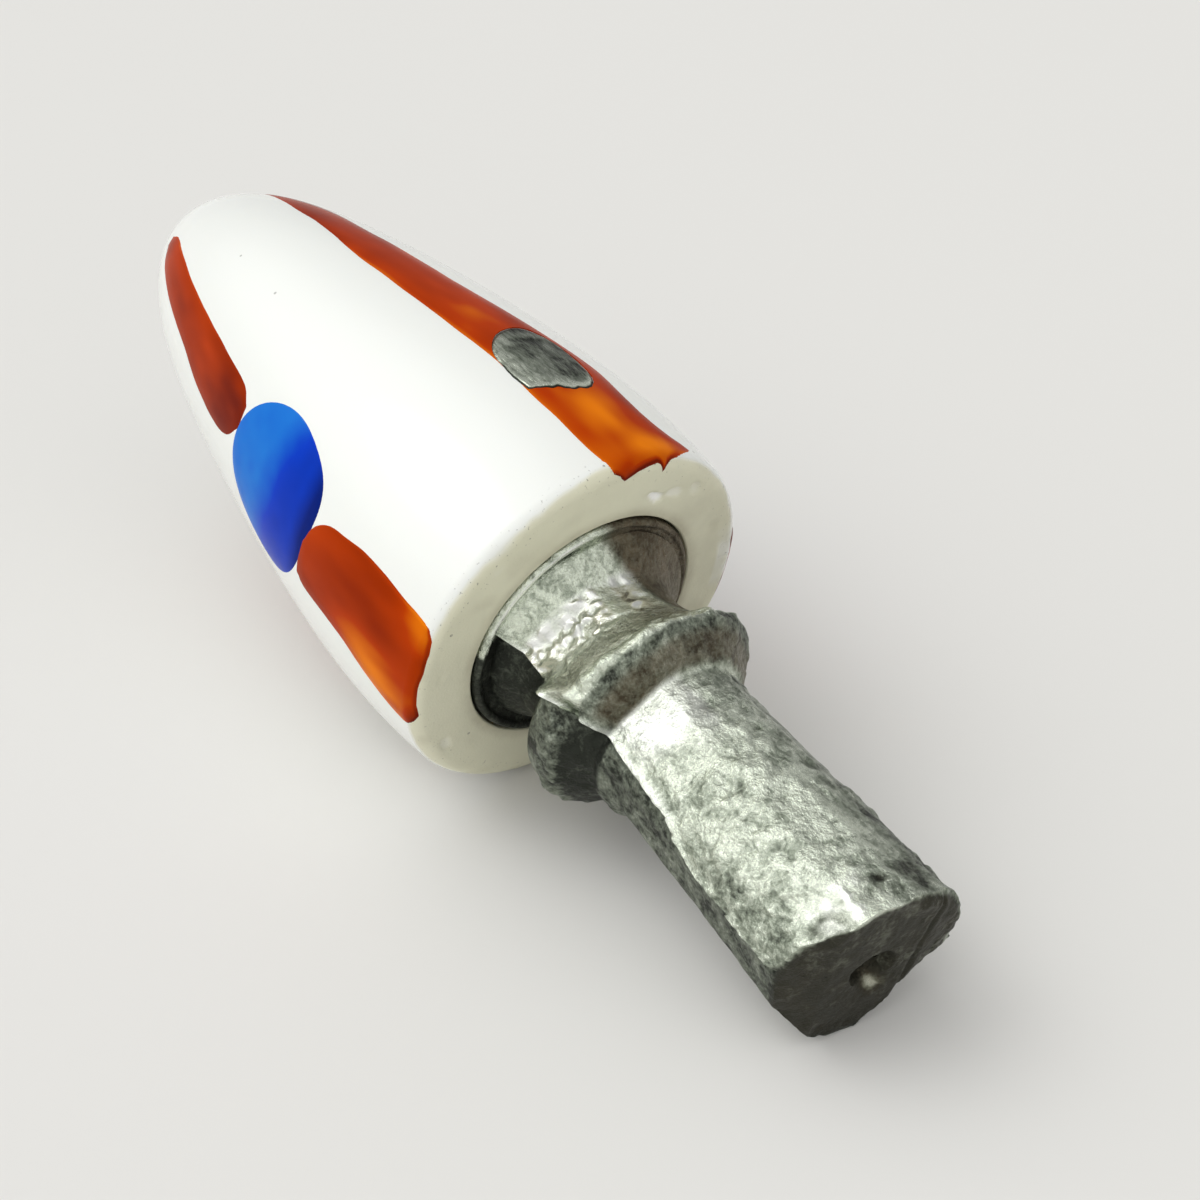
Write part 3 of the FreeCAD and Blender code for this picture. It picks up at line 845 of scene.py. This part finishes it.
class LURE_OT_blue_eyes(bpy.types.Operator):
    """Paint the two round blue eyes of fired enamel"""

    bl_idname = "lure.blue_eyes"
    bl_label = "Blue eyes"

    def execute(self, context):
        look = context.scene.lure_enamel
        blue = enamel_material("fired_cobalt_enamel", look.thin_and_lit_blue, look.full_blue,
                               look.pooled_blue)
        share = np.linspace(0.0, 1.0, 40)[:, None]
        turn = full_turn(140)[None, :]
        for side, at_angle, seed in (("left", 76.5, 71), ("right", -103.0, 81)):
            reach = EYE_RADIUS + 0.06 * np.sin(3 * turn + seed) + 0.6 * hump(turn, EYE_TAIL, 0.42)
            ahead, sideways = share * reach * np.cos(turn), share * reach * np.sin(turn)
            s, edge = EYE_AT + ahead, reach * (1.0 - share)
            angle = at_angle + np.degrees(sideways / flank_radius(s))
            points = skin(s, angle)
            # the enamel is lighter towards the nose and the lower edge, a painted highlight, and
            # darker at its end towards the face
            slant = (s - 13.4) - 0.2 * sideways + 0.3 * ripple(points, 2.2, seed)
            pool = 0.56 - 0.46 * step(-0.9, 2.2, slant) + 0.04 * ripple(points, 0.7, seed + 1)
            pool += 0.55 * step(-2.6, -4.4, ahead) - 0.08 * step(0.3, 0.0, edge)
            enamel_piece(side + "_eye", s, angle, edge, 1.1 * look.thickness / MM, pool, blue,
                         "eye_" + side, closed=True)
        return {"FINISHED"}


class LURE_OT_locking_pin(bpy.types.Operator):
    """Make the lead pin with its two filed ends"""

    bl_idname = "lure.locking_pin"
    bl_label = "Locking pin"

    def execute(self, context):
        lead = lead_material("filed_lead", context.scene.lure_lead, True)
        rings, spokes = 48, 200
        share = np.linspace(0.02, 1.0, rings)[:, None] ** 0.8
        share, turn = np.broadcast_arrays(share, full_turn(spokes)[None, :])
        toward_lip = np.cos(turn - PIN_LIP)
        caps, faces, worn_and_lit = [], [], []
        for far in (False, True):
            flat = pin_points(share, turn, 0.0, 0.0, far)
            # the file ran nearly across the head, so its marks are long that way
            across = flat @ np.array(((1.0, 0.35, 0.0), (-0.25, 0.3, 0.0), (0.0, 0.2, 1.0)))
            marks = ripple(across, 0.42, 91 + far)
            gouges = step(0.25, 0.7, ripple(across, 0.9, 95 + far))
            lip = step(0.8, 0.97, share) * step(0.1, 0.8, toward_lip)
            lift = 0.03 + 0.02 * marks + 0.04 * ripple(flat, 1.3, 93 + far) + 0.06 * lip
            lift -= 0.05 * gouges + 0.05 * step(0.95, 1.0, share)
            caps.append(pin_points(share, turn, 0.0, lift, far).reshape(-1, 3))
            first = rings * spokes * int(far)
            faces += [tuple(range(first, first + spokes))]
            faces += list(quads(rings, spokes, closed=True) + first)
            # the torn lip painted bright, partly as a highlight; gouges darker, file marks mottled
            worn_and_lit.append((1.2 * lip - 0.5 * gouges + 0.5 * marks).ravel())
        last = (rings - 1) * spokes
        other = rings * spokes + last
        faces += [(last + j, last + (j + 1) % spokes, other + (j + 1) % spokes, other + j)
                  for j in range(spokes)]
        mesh = make_mesh("pin", np.concatenate(caps), faces)
        points = coordinates(mesh)
        angle, _ = around_axis(points)
        # painted light on the pin's end: brighter towards the left and the face, painted shade
        # elsewhere
        toward_left = step(-17.0, -2.0, angle)
        toward_face = step(-7.4, -5.6, points[:, 0])
        rub = 0.1 + 0.4 * toward_left + 0.3 * toward_face + np.concatenate(worn_and_lit)
        # a painted dark line as shadow round the pin's edge, all round and most where it is torn
        edge = step(0.955, 0.985, share) * (0.12 + 0.88 * step(0.1, 0.6, toward_lip))
        edge = np.tile(edge.ravel(), 2)
        paint(mesh, rub=np.clip(rub, 0.0, 1.6) * (1.0 - edge), shade=np.maximum(
            0.8 * (1.0 - toward_left) * (1.0 - toward_face), 1.8 * edge))
        set_coordinates(mesh, placed(points))
        finished("locking_pin", mesh, lead, "cross_pin", crease=60)
        return {"FINISHED"}


# ---- cast core ----
# how far the stem leans to the left, where its axis starts at the face, and how far the mould's
# lower half was out of line with the upper one
STEM_LEAN = math.radians(2.6)
STEM_SHIFT = np.array((0.0, -0.4, -0.28))
HALF_SHIFT = 0.35
# foot, neck, collar and stem as each half of the mould shaped them: way from the face, radius
UPPER_HALF = ((-1.2, 5.7), (-0.1, 5.86), (0.2, 5.68), (0.7, 5.25), (1.2, 4.86), (1.42, 4.7),
              (2.2, 4.62), (3.0, 4.66), (3.7, 4.8), (4.3, 5.06), (4.85, 5.42), (5.25, 5.78),
              (5.5, 6.02), (5.75, 6.1), (6.0, 5.95), (6.3, 5.7), (6.9, 5.2), (7.3, 4.82),
              (7.5, 4.42), (7.65, 4.22), (STEM_END, 4.8), (26.0, 4.92))
LOWER_HALF = ((-1.2, 5.2), (0.0, 5.35), (0.7, 4.95), (1.3, 4.5), (2.2, 4.32), (3.2, 4.4),
              (3.6, 4.75), (3.9, 5.6), (4.2, 5.98), (5.4, 6.08), (5.9, 5.9), (6.5, 5.2),
              (7.0, 4.55), (7.3, 4.28), (7.6, 4.42), (8.1, 4.36), (9.0, 4.25),
              (STEM_END, 4.8), (26.0, 4.92))
HALF_EASE = (-0.14, -0.05, 0.05, 0.14)
# the mould's parting line on the left side, whose twin lies opposite: way from the face, angle
PARTING = ((0.0, 63.0), (2.9, 65.0), (6.0, 62.0), (7.6, 60.0), (9.0, 62.5), (12.6, 65.0),
           (13.6, 70.0), (15.5, 76.5), (STEM_END, 77.0))
# the flash along it: way from the face, and how strong it is there, how wide, how uneven
FLASH_STRENGTH = ((0.4, 0.1), (1.0, 0.45), (3.4, 0.3), (4.2, 0.9), (6.0, 0.5), (7.4, 0.9),
                  (12.4, 1.0), (13.8, 0.3), (STEM_END, 0.2))
FLASH_WIDTH = ((0.0, 0.14), (7.0, 0.14), (8.0, 0.34), (12.0, 0.34), (14.0, 0.14))
FLASH_UNEVEN = ((6.0, 0.5), (7.5, 0.15), (12.0, 0.15), (14.0, 0.5))
# flats that knife and file left on neck and stem: angle, depth, where they start and stop
STEM_FLATS = ((37, 0.36, 1.9, 3.2), (-8, 0.12, 1.7, 2.4), (33, 0.17, 7.6, 12.3),
              (-47, 0.12, 9.0, 15.0), (-85, 0.2, 8.0, STEM_END), (98, 0.18, 8.0, STEM_END),
              (130, 0.3, 9.0, STEM_END), (-142, 0.22, 9.0, STEM_END), (36, 0.22, 20.2, 26.0),
              (5, 0.1, 15.0, 19.5), (-25, 0.12, 17.0, 26.0))
# radius of the torn hole that the leader leaves by
LEADER_HOLE = 0.93


def facets(grid, size, tilt, seed):
    """Heights of a grid of points broken into flat, randomly tilted facets about size wide, with
    the steps between them softened."""
    points = grid.reshape(-1, 3)
    chance = np.random.default_rng(seed)
    spread = np.ptp(points, axis=0)
    count = int(spread[0] * math.pi * max(spread[1], spread[2]) / size**2)
    middles = points[chance.integers(len(points), size=count)]
    slopes = chance.normal(0.0, tilt, (count, 3))
    facet = nearest(points, middles)
    heights = np.sum((points - middles[facet]) * slopes[facet], axis=1).reshape(grid.shape[:2])
    for axis in (0, 1):
        heights = (np.roll(heights, 1, axis) + 2.0 * heights + np.roll(heights, -1, axis)) / 4.0
    return heights


def on_stem_axis(points):
    """Points of the stem's own frame in the head's frame."""
    x, y, z = points[:, 0], points[:, 1], points[:, 2]
    return STEM_SHIFT + xyz(x * math.cos(STEM_LEAN) + y * math.sin(STEM_LEAN),
                            -x * math.sin(STEM_LEAN) + y * math.cos(STEM_LEAN), z)


def end_plane(right_at, up_at):
    """How far along the stem its end lies. It was cut on a slant, then the left side and the
    lower right corner were trimmed back, and a lobe beyond a crease was left on the right."""
    slant = STEM_END + math.tan(math.radians(8.0)) * right_at
    left = 0.4 * np.maximum(-2.3 - right_at, 0.0) + 1.1 * np.maximum(-4.2 - right_at, 0.0)
    crease = 2.45 + 0.12 * up_at
    right = 0.2 * np.maximum(right_at - crease, 0.0) + 0.16 * hump(right_at, crease, 0.16)
    corner = 1.5 * np.maximum(0.75 * right_at - 0.66 * up_at - 3.45, 0.0)
    corner *= step(-1.2, -1.9, up_at)
    top = 0.5 * np.maximum(0.55 * right_at + 0.83 * up_at - 4.1, 0.0)
    spots = xyz(0.0, right_at, up_at)
    ragged = 0.13 * ripple(spots, 0.9, 113) + 0.05 * ripple(spots, 0.4, 114)
    ragged *= step(3.4, 4.4, np.hypot(right_at, up_at))
    return slant - left - right - corner - top + ragged


def stem_skin(x, angle, base):
    """Relief of the casting skin over foot, neck, collar and stem, and how crumpled it is."""
    spots = turned_out(x, angle, base)
    on_stem = step(7.5, 8.3, x)
    on_collar = between(4.9, 5.5, 7.4, 7.7, x)
    crest = hump(x, 5.6, 0.6)
    # lumps, grain and pits of the casting, strongest on stem and collar
    relief = ripple(spots, 2.6, 101) * (0.03 + 0.07 * on_stem + 0.08 * on_collar)
    relief += ripple(spots, 0.95, 102) * (0.01 + 0.035 * on_stem + 0.07 * on_collar)
    relief += ripple(spots, 0.42, 103) * (
        0.004 + 0.025 * on_stem + 0.04 * on_collar + 0.1 * crest)
    relief += ripple(spots, 0.8, 115) * 0.09 * crest
    relief -= np.abs(ripple(spots, 0.7, 104)) * (0.05 * on_stem + 0.06 * on_collar)
    # small flats where the skin broke, except behind the collar, where it stayed smooth
    broken = facets(spots, 0.85, 0.085, 105)
    chips = facets(spots, 0.4, 0.11, 106)
    smooth = step(12.6, 11.6, x) * between(-4.0, 6.0, 48.0, 58.0, angle)
    relief *= 1.0 - 0.45 * smooth * on_stem
    relief += (broken + 0.9 * chips) * on_stem * (1.0 - 0.8 * smooth)
    relief += (broken + chips) * on_collar
    # the neck's upper left is crumpled like foil, with a calmer band in it
    foil = facets(spots, 0.7, 0.24, 107) + 0.03 * ripple(spots, 0.5, 108)
    crumpled = between(1.15, 1.5, 3.5, 4.0, x) * between(-24.0, -12.0, 60.0, 72.0, angle)
    crumpled *= 1.0 - 0.8 * between(-4.0, -1.0, 7.0, 10.0, angle)
    return relief + foil * crumpled, crumpled


def flash(x, angle, left, base):
    """Height of the ridge where the mould's halves met, on both sides, broken here and there."""
    strong, width, uneven = (
        np.interp(x, *np.array(run).T) for run in (FLASH_STRENGTH, FLASH_WIDTH, FLASH_UNEVEN))
    ridge = np.zeros(x.shape)
    for line, tall in ((left, 0.26), (left - 180.0, 0.14)):
        off = np.radians(turned_from(angle, line)) * base
        broken = 0.8 + uneven * ripple(xyz(x, line, 0.0), 0.9, 110)
        ridge += tall * strong * broken * hump(off, 0.0, width)
    return ridge


def end_rings(angle, radius):
    """Rows that close the end's face in rings and run into the leader's hole, whose lower lip is
    torn."""
    rows = []
    for share in np.linspace(0.0, 1.0, 44)[1:]:
        ring = turned_out(0.0, angle, radius * (1.0 - share) + LEADER_HOLE * share)
        y, z = ring[:, 1], ring[:, 2]
        chop = 0.05 * ripple(ring, 1.3, 111) + 0.035 * ripple(ring * (1.0, 2.5, 1.0), 0.5, 112)
        torn = 0.55 * np.exp(-((y - 0.3) ** 2 + (z + 1.2) ** 2) / 0.35)
        funnel = 0.6 * step(1.2, LEADER_HOLE, np.hypot(y - 0.12, z + 0.2))
        ring[:, 0] = end_plane(y, z) + chop * step(0.0, 0.1, share) - torn - funnel
        rows.append(ring)
    inner = rows[-1].copy()
    inner[:, 0] = STEM_END - 3.0
    return rows + [inner]


def core_grid():
    """Grid of points over foot, neck, collar and stem in the stem's frame, its rows running from
    the head to the end and into the leader's hole, with what the material needs to know."""
    along = np.concatenate((
        np.linspace(-0.9, 0.0, 4), np.linspace(0.09, 8.3, 104), np.linspace(8.42, STEM_END, 128)))
    half = 150
    spread = np.linspace(0.0, 1.0, half)[None, :]
    spread = 0.8 * spread + 0.1 * (1.0 - np.cos(math.pi * spread))
    left = np.interp(along, *np.array(PARTING).T)[:, None]
    angle = np.concatenate((left - 180.0 * spread, left - 180.0 - 180.0 * spread), axis=1)
    x = np.repeat(along[:, None], 2 * half, axis=1)
    low = np.zeros(x.shape)
    low[:, half:] = 1.0
    # the upper half's collar leans forward beside the parting line
    lean = 1.25 * step(50.0, 64.0, angle) * between(2.6, 4.2, 5.6, 7.0, x)
    wander = 0.16 * ripple(xyz(angle / 20.0, 0.0, 0.0), 1.0, 109) * between(3.5, 5.0, 6.5, 7.5, x)
    upper = eased(x + lean + wander, *np.array(UPPER_HALF).T, HALF_EASE)
    upper += 0.2 * step(-20.0, -42.0, angle) * between(4.6, 5.4, 6.0, 6.8, x)
    # on the right the foot spreads out into the bead
    spread_out = np.exp(-np.maximum(x, 0.0) / 0.9) * step(-0.3, 0.1, x)
    upper += 0.75 * spread_out * step(12.0, -28.0, angle)
    lower = eased(x, *np.array(LOWER_HALF).T, HALF_EASE)
    shift = -HALF_SHIFT * np.cos(np.radians(angle - left))
    base = upper * (1.0 - low) + low * (shift + np.sqrt(lower**2 - HALF_SHIFT**2 + shift**2))
    relief, crumpled = stem_skin(x, angle, base)
    radius = base + relief * step(-0.2, 0.5, x)
    for at_angle, depth, start, stop in STEM_FLATS:
        away = np.radians(turned_from(angle, at_angle))
        plane = (base - depth) / np.maximum(np.cos(away), 0.4)
        # the skin's relief shows on the flats too, less on the stem's
        kept = np.minimum(radius, plane + (0.45 if start > 7.0 else 1.0) * (radius - base))
        active = between(start - 0.5, start + 0.1, stop, stop + 0.8, x)
        radius = np.where(np.abs(away) < 0.9, radius + (kept - radius) * active, radius)
    ridge = flash(x, angle, left, base) * (1.0 - low)
    radius = radius + ridge
    points = turned_out(x, angle, radius)
    # the stem's last part is stretched or shortened to where its end lies
    fixed = 12.0
    end = end_plane(points[..., 1], points[..., 2])
    fitted = fixed + (x - fixed) * (end - fixed) / (STEM_END - fixed)
    points[..., 0] = np.where(x > fixed, fitted, x)
    points = np.concatenate((points, end_rings(angle[-1], radius[-1])))
    return points, relief, ridge, crumpled, low


def plug_outline():
    """Outline of the tang, the plug in the head's mouth and the bead round the neck."""
    tang_end, tang, plug = -12.4, 4.0, MOUTH_RADIUS - 0.1
    outline = [(tang_end, 0.0), (tang_end, tang - 0.6), (tang_end + 0.2, tang - 0.2),
               (tang_end + 0.6, tang), (-MOUTH_DEPTH, tang), (-MOUTH_DEPTH, plug - 0.3),
               (-MOUTH_DEPTH + 0.3, plug), (-0.15, plug)]
    outline += [(-0.15 + 0.34 * math.sin(b), plug - 0.25 + 0.25 * math.cos(b))
                for b in np.linspace(0.0, math.pi * 0.85, 14)[1:]]
    return outline + [(-0.06, 6.1), (-0.14, 6.0), (-0.16, 5.85), (-0.2, 5.6), (-0.3, 5.0),
                      (-0.3, 0.0)]


class LURE_OT_cast_core(bpy.types.Operator):
    """Cast the lead core: plug, bead, neck, collar and stem with its parting line"""

    bl_idname = "lure.cast_core"
    bl_label = "Cast core"

    def execute(self, context):
        lead = lead_material("cast_lead", context.scene.lure_lead, False)
        grid, *known = core_grid()
        rows, columns, _ = grid.shape
        mesh = make_mesh("core", on_stem_axis(grid.reshape(-1, 3)),
                         quads(rows, columns, closed=True))
        plug = lathed("plug", plug_outline(), 200, lead)
        points = coordinates(plug)
        angle, radius = around_axis(points)
        rim_side = step(-0.5, -0.4, points[:, 0])
        points[:, 0] += rim_side * (
            0.05 * ripple(points, 1.1, 121) + 0.02 * ripple(points, 0.4, 122))
        # on the right the bead ran into the foot, so no crevice is left there
        filled = rim_side * between(5.3, 5.5, 6.3, 6.55, radius)
        filled *= between(-170.0, -120.0, -8.0, 16.0, angle)
        points[:, 0] += filled * np.maximum(0.14 - points[:, 0], 0.0)
        set_coordinates(plug, points)
        whole = bmesh.new()
        whole.from_mesh(mesh)
        whole.from_mesh(plug)
        whole.to_mesh(mesh)
        whole.free()
        mesh.shade_smooth()
        points = coordinates(mesh)
        self.paint_wear_and_light(mesh, points, grid, *known)
        set_coordinates(mesh, placed(points))
        finished("cast_core", mesh, lead, "lead_core", crease=48)
        return {"FINISHED"}

    def paint_wear_and_light(self, mesh, points, grid, *known):
        """Stores where the lead is rubbed bright or painted with highlights, where it is painted dark
        as shade, and where it is stained brown. known are the grid's relief and ridge, where it is
        crumpled, and its lower half."""
        at = nearest(points, on_stem_axis(grid[:len(known[0])].reshape(-1, 3)))
        high, crest, foil, under = (values.ravel()[at] for values in known)
        angle, from_axis = around_axis(points)
        x, y, z = points[:, 0], points[:, 1], points[:, 2]
        from_stem_axis = np.hypot(
            y - STEM_SHIFT[1] + x * math.tan(STEM_LEAN), z - STEM_SHIFT[2])
        end_face = step(4.75, 4.4, from_stem_axis) * step(20.5, 21.0, x)
        # the torn lip under the leader's hole: painted bright as a glint, and tinted brown
        lip = np.exp(-((y + 0.9) ** 2 + (z + 2.0) ** 2) / 0.14) * end_face
        slope = between(5.8, 6.1, 7.4, 7.7, x)
        # the right side of foot and neck kept a brown coating, and is painted darker there as shade
        film_and_shade = step(5.0, -7.0, angle + 2.0 + 6.0 * np.clip(x, 0.0, 5.0)) * (x > -0.2)
        film_and_shade *= step(-175.0, -150.0, angle) * step(5.0, 4.2, x)
        # rubbed bright on what stands proud; painted highlights on the top and left, the collar's
        # edge and near the end
        lit_crown = between(-45.0, 0.0, 58.0, 68.0, angle)
        rub = 0.3 + 2.4 * high + 4.0 * crest + 0.35 * lit_crown + foil
        rub -= 0.1 * between(7.4, 7.7, 11.0, 12.8, x) * lit_crown
        rub += 1.2 * step(19.8, 20.6, x) * between(15.0, 25.0, 48.0, 60.0, angle)
        rub += 0.9 * between(4.6, 5.2, 5.9, 6.2, x) * between(-40.0, 0.0, 60.0, 68.0, angle)
        rub = (rub * (1.0 - end_face) + lip) * (1.0 - 0.5 * slope) * (1.0 - 0.5 * film_and_shade)
        # painted shade underneath, in the mouth, on the collar's rear and on the right, a painted
        # dark reflection on the end, and darker in hollows
        shade = 0.6 * slope + 1.1 * end_face + 0.9 * (x < -0.16) + 0.7 * film_and_shade
        shade += under * (0.75 + 0.65 * step(3.9, 3.3, x))
        shade += 0.6 * between(-110.0, -90.0, -32.0, 14.0, angle) * step(7.6, 8.4, x)
        shade = shade * (1.0 - lip) - 0.6 * np.minimum(high, 0.0)
        # smoother and painted bright as a highlight behind the collar and near the end
        mirror_and_highlight = between(19.9, 20.5, 21.8, 22.2, x) * between(18.0, 25.0, 50.0, 58.0, angle)
        mirror_and_highlight *= step(-0.08, 0.03, high)
        cloudy = 0.72 + 0.3 * ripple(points, 0.8, 132)
        cloudy *= step(7.4, 7.6, x) * step(11.0, 9.0, x + 1.3 * ripple(points, 1.3, 131))
        mirror_and_highlight += cloudy * between(8.0, 17.0, 60.0, 66.0, angle)
        # painted highlights along the flash ridge and on the bead
        mirror_and_highlight += crest * np.interp(x, (0.3, 0.8, 3.5, 5.8, 7.3, 12.5, 13.5),
                                    (0.0, 7.0, 7.0, 3.0, 3.0, 2.5, 0.0))
        bead = step(6.05, 6.2, from_axis) * step(0.09, 0.15, x) * (x < 0.4)
        mirror_and_highlight += 1.2 * bead * between(4.0, 14.0, 60.0, 70.0, angle)
        mirror_and_highlight = np.clip(0.7 * mirror_and_highlight + foil * (0.5 + 0.5 * step(-0.08, 0.04, high)), 0.0, 1.0)
        brown = 0.5 * lip + 0.9 * film_and_shade + 0.2 * end_face
        brown += 0.7 * slope * step(6.3, 6.8, x) * step(66.0, 56.0, angle)
        brown += 0.5 * between(3.6, 4.0, 5.0, 5.4, x) * step(70.0, 60.0, angle)
        paint(mesh, rub=np.clip(rub, 0.0, 1.0), shade=np.clip(shade, 0.0, 1.4),
              rust=np.clip(1.4 * brown, 0.0, 1.4), foil=mirror_and_highlight * (1.0 - end_face))


class LURE_OT_leader_tube(bpy.types.Operator):
    """Draw the brass tube that the leader runs through, ending short of the stem's end"""

    bl_idname = "lure.leader_tube"
    bl_label = "Leader tube"

    def execute(self, context):
        bore = MOUNTS["leader_bore"]
        brass = brass_material(context.scene.lure_lead)
        wall, ease, short = 0.3, 0.06, 0.8
        inner, start = bore["dims"]["r_mm"], -bore["dims"]["length_mm"] / 2
        outer, end = inner + wall, -start - short
        outline = [(start, inner + ease), (start, outer - ease), (start + ease, outer),
                   (end - ease, outer), (end, outer - ease), (end, inner + ease),
                   (end - ease, inner), (start + ease, inner), (start, inner + ease)]
        mesh = lathed("tube", outline, 48, brass)
        along = Vector((1.0, 0.0, 0.0))
        lie = np.array(along.rotation_difference(Vector(bore["axis"])).to_matrix())
        set_coordinates(mesh, coordinates(mesh) * MM @ lie.T + np.array(bore["pos_m"]))
        finished("brass_tube", mesh, brass, "leader_tube", crease=40)
        return {"FINISHED"}


# ---- stage ----
# soft lights: the way towards each, the cosines where it is full and where it ends, and its
# power as a share of a setting; the second is the bright middle of the first
LIGHTS = (
    ((-0.38, -0.48, 0.79), 0.97, 0.62, 1.0, "key_power"),
    ((-0.38, -0.48, 0.79), 1.0, 0.93, 2.2, "key_power"),
    ((0.76, -0.44, 0.48), 0.95, 0.30, 1.0, "fill_power"),
)


class LURE_OT_stage(bpy.types.Operator):
    """Lay the floor, light the room and set the camera"""

    bl_idname = "lure.stage"
    bl_label = "Stage"

    def execute(self, context):
        look = context.scene.lure_stage
        # the floor lies a hair under the lowest points, which would else be in its own plane
        span, z = 1.5, -0.01 * MM
        board = bpy.data.meshes.new("floor")
        board.from_pydata([(-span, -span, z), (span, -span, z), (span, span, z), (-span, span, z)],
                          [], [(0, 1, 2, 3)])
        board.materials.append(floor_material(look))
        show("floor", board)
        target = Vector(FACE + np.array((0.0, 1.1, 1.1)) * MM)
        back = Vector((
            math.sin(look.azimuth) * math.cos(look.elevation),
            -math.cos(look.azimuth) * math.cos(look.elevation),
            math.sin(look.elevation),
        ))
        lens = bpy.data.cameras.new("camera")
        lens.lens, lens.sensor_width, lens.clip_start = 54.0, 36.0, 0.001
        camera = bpy.data.objects.new("camera", lens)
        camera.location = target + back * look.distance
        camera.rotation_euler = (-back).to_track_quat("-Z", "Y").to_euler()
        context.scene.collection.objects.link(camera)
        context.scene.camera = camera
        context.scene.world = self.room(look)
        context.scene.view_settings.view_transform = "Standard"
        return {"FINISHED"}

    def room(self, look):
        """A pale grey room with a large soft light over the left side and a weaker one in front."""
        world = bpy.data.worlds.new("room")
        world.use_nodes = True
        tree = world.node_tree
        tree.nodes.clear()
        way = node(tree, "ShaderNodeTexCoord").outputs["Generated"]
        height = node(tree, "ShaderNodeSeparateXYZ", {"Vector": way}).outputs["Z"]
        level = node(tree, "ShaderNodeMapRange", {
            "Value": height, "From Min": -0.1, "From Max": 0.9, "To Min": 0.35, "To Max": 0.6})
        for towards, full, end, share, power in LIGHTS:
            facing = node(tree, "ShaderNodeVectorMath", {
                0: way, 1: Vector(towards).normalized()}, operation="DOT_PRODUCT")
            glow = node(tree, "ShaderNodeMapRange", {
                "Value": facing, "From Min": end, "From Max": full, "To Min": 0.0,
                "To Max": share * getattr(look, power)}, interpolation_type="SMOOTHSTEP")
            level = node(tree, "ShaderNodeMath", {0: level, 1: glow}, operation="ADD")
        # the pale backdrop: seen as it is, and in gloss or through glass as far up as it stands
        rays = node(tree, "ShaderNodeLightPath").outputs
        mirrored = node(tree, "ShaderNodeMath", {
            0: rays["Is Glossy Ray"], 1: rays["Is Transmission Ray"]}, operation="ADD")
        low = node(tree, "ShaderNodeMapRange", {
            "Value": height, "From Min": 0.0, "From Max": 0.35, "To Min": 1.0, "To Max": 0.0})
        seen = node(tree, "ShaderNodeMath", {0: mirrored, 1: low, 2: rays["Is Camera Ray"]},
                    operation="MULTIPLY_ADD")
        pale = node(tree, "ShaderNodeMix", {"Factor": seen, "A": level, "B": 0.86},
                    data_type="FLOAT")
        light = node(tree, "ShaderNodeBackground", {"Strength": pale})
        node(tree, "ShaderNodeOutputWorld", {"Surface": light})
        return world


class LURE_PT_panel(bpy.types.Panel):
    """Lists the pieces of the lure"""

    bl_label = "Trolling lure head"
    bl_idname = "LURE_PT_panel"
    bl_space_type = "VIEW_3D"
    bl_region_type = "UI"
    bl_category = "Lure"

    def draw(self, context):
        for operator in OPERATORS:
            self.layout.operator(operator.bl_idname)
        for name in SETTINGS:
            settings = getattr(context.scene, name)
            for field in settings.__annotations__:
                self.layout.prop(settings, field)


OPERATORS = (
    LURE_OT_porcelain_head, LURE_OT_red_strokes, LURE_OT_blue_eyes, LURE_OT_locking_pin,
    LURE_OT_cast_core, LURE_OT_leader_tube, LURE_OT_stage,
)
SETTINGS = {
    "lure_porcelain": PorcelainSettings, "lure_enamel": EnamelSettings,
    "lure_lead": LeadSettings, "lure_stage": StageSettings,
}


def register():
    """Makes the settings, the operators and the panel known to Blender."""
    for name, group in SETTINGS.items():
        bpy.utils.register_class(group)
        setattr(bpy.types.Scene, name, PointerProperty(type=group))
    for shown in (*OPERATORS, LURE_PT_panel):
        bpy.utils.register_class(shown)


def unregister():
    """Takes them away again."""
    for shown in (LURE_PT_panel, *reversed(OPERATORS)):
        bpy.utils.unregister_class(shown)
    for name, group in SETTINGS.items():
        delattr(bpy.types.Scene, name)
        bpy.utils.unregister_class(group)


def main():
    """Builds everything in order."""
    register()
    for operator in OPERATORS:
        group, name = operator.bl_idname.split(".")
        getattr(getattr(bpy.ops, group), name)()


if __name__ == "__main__":
    main()
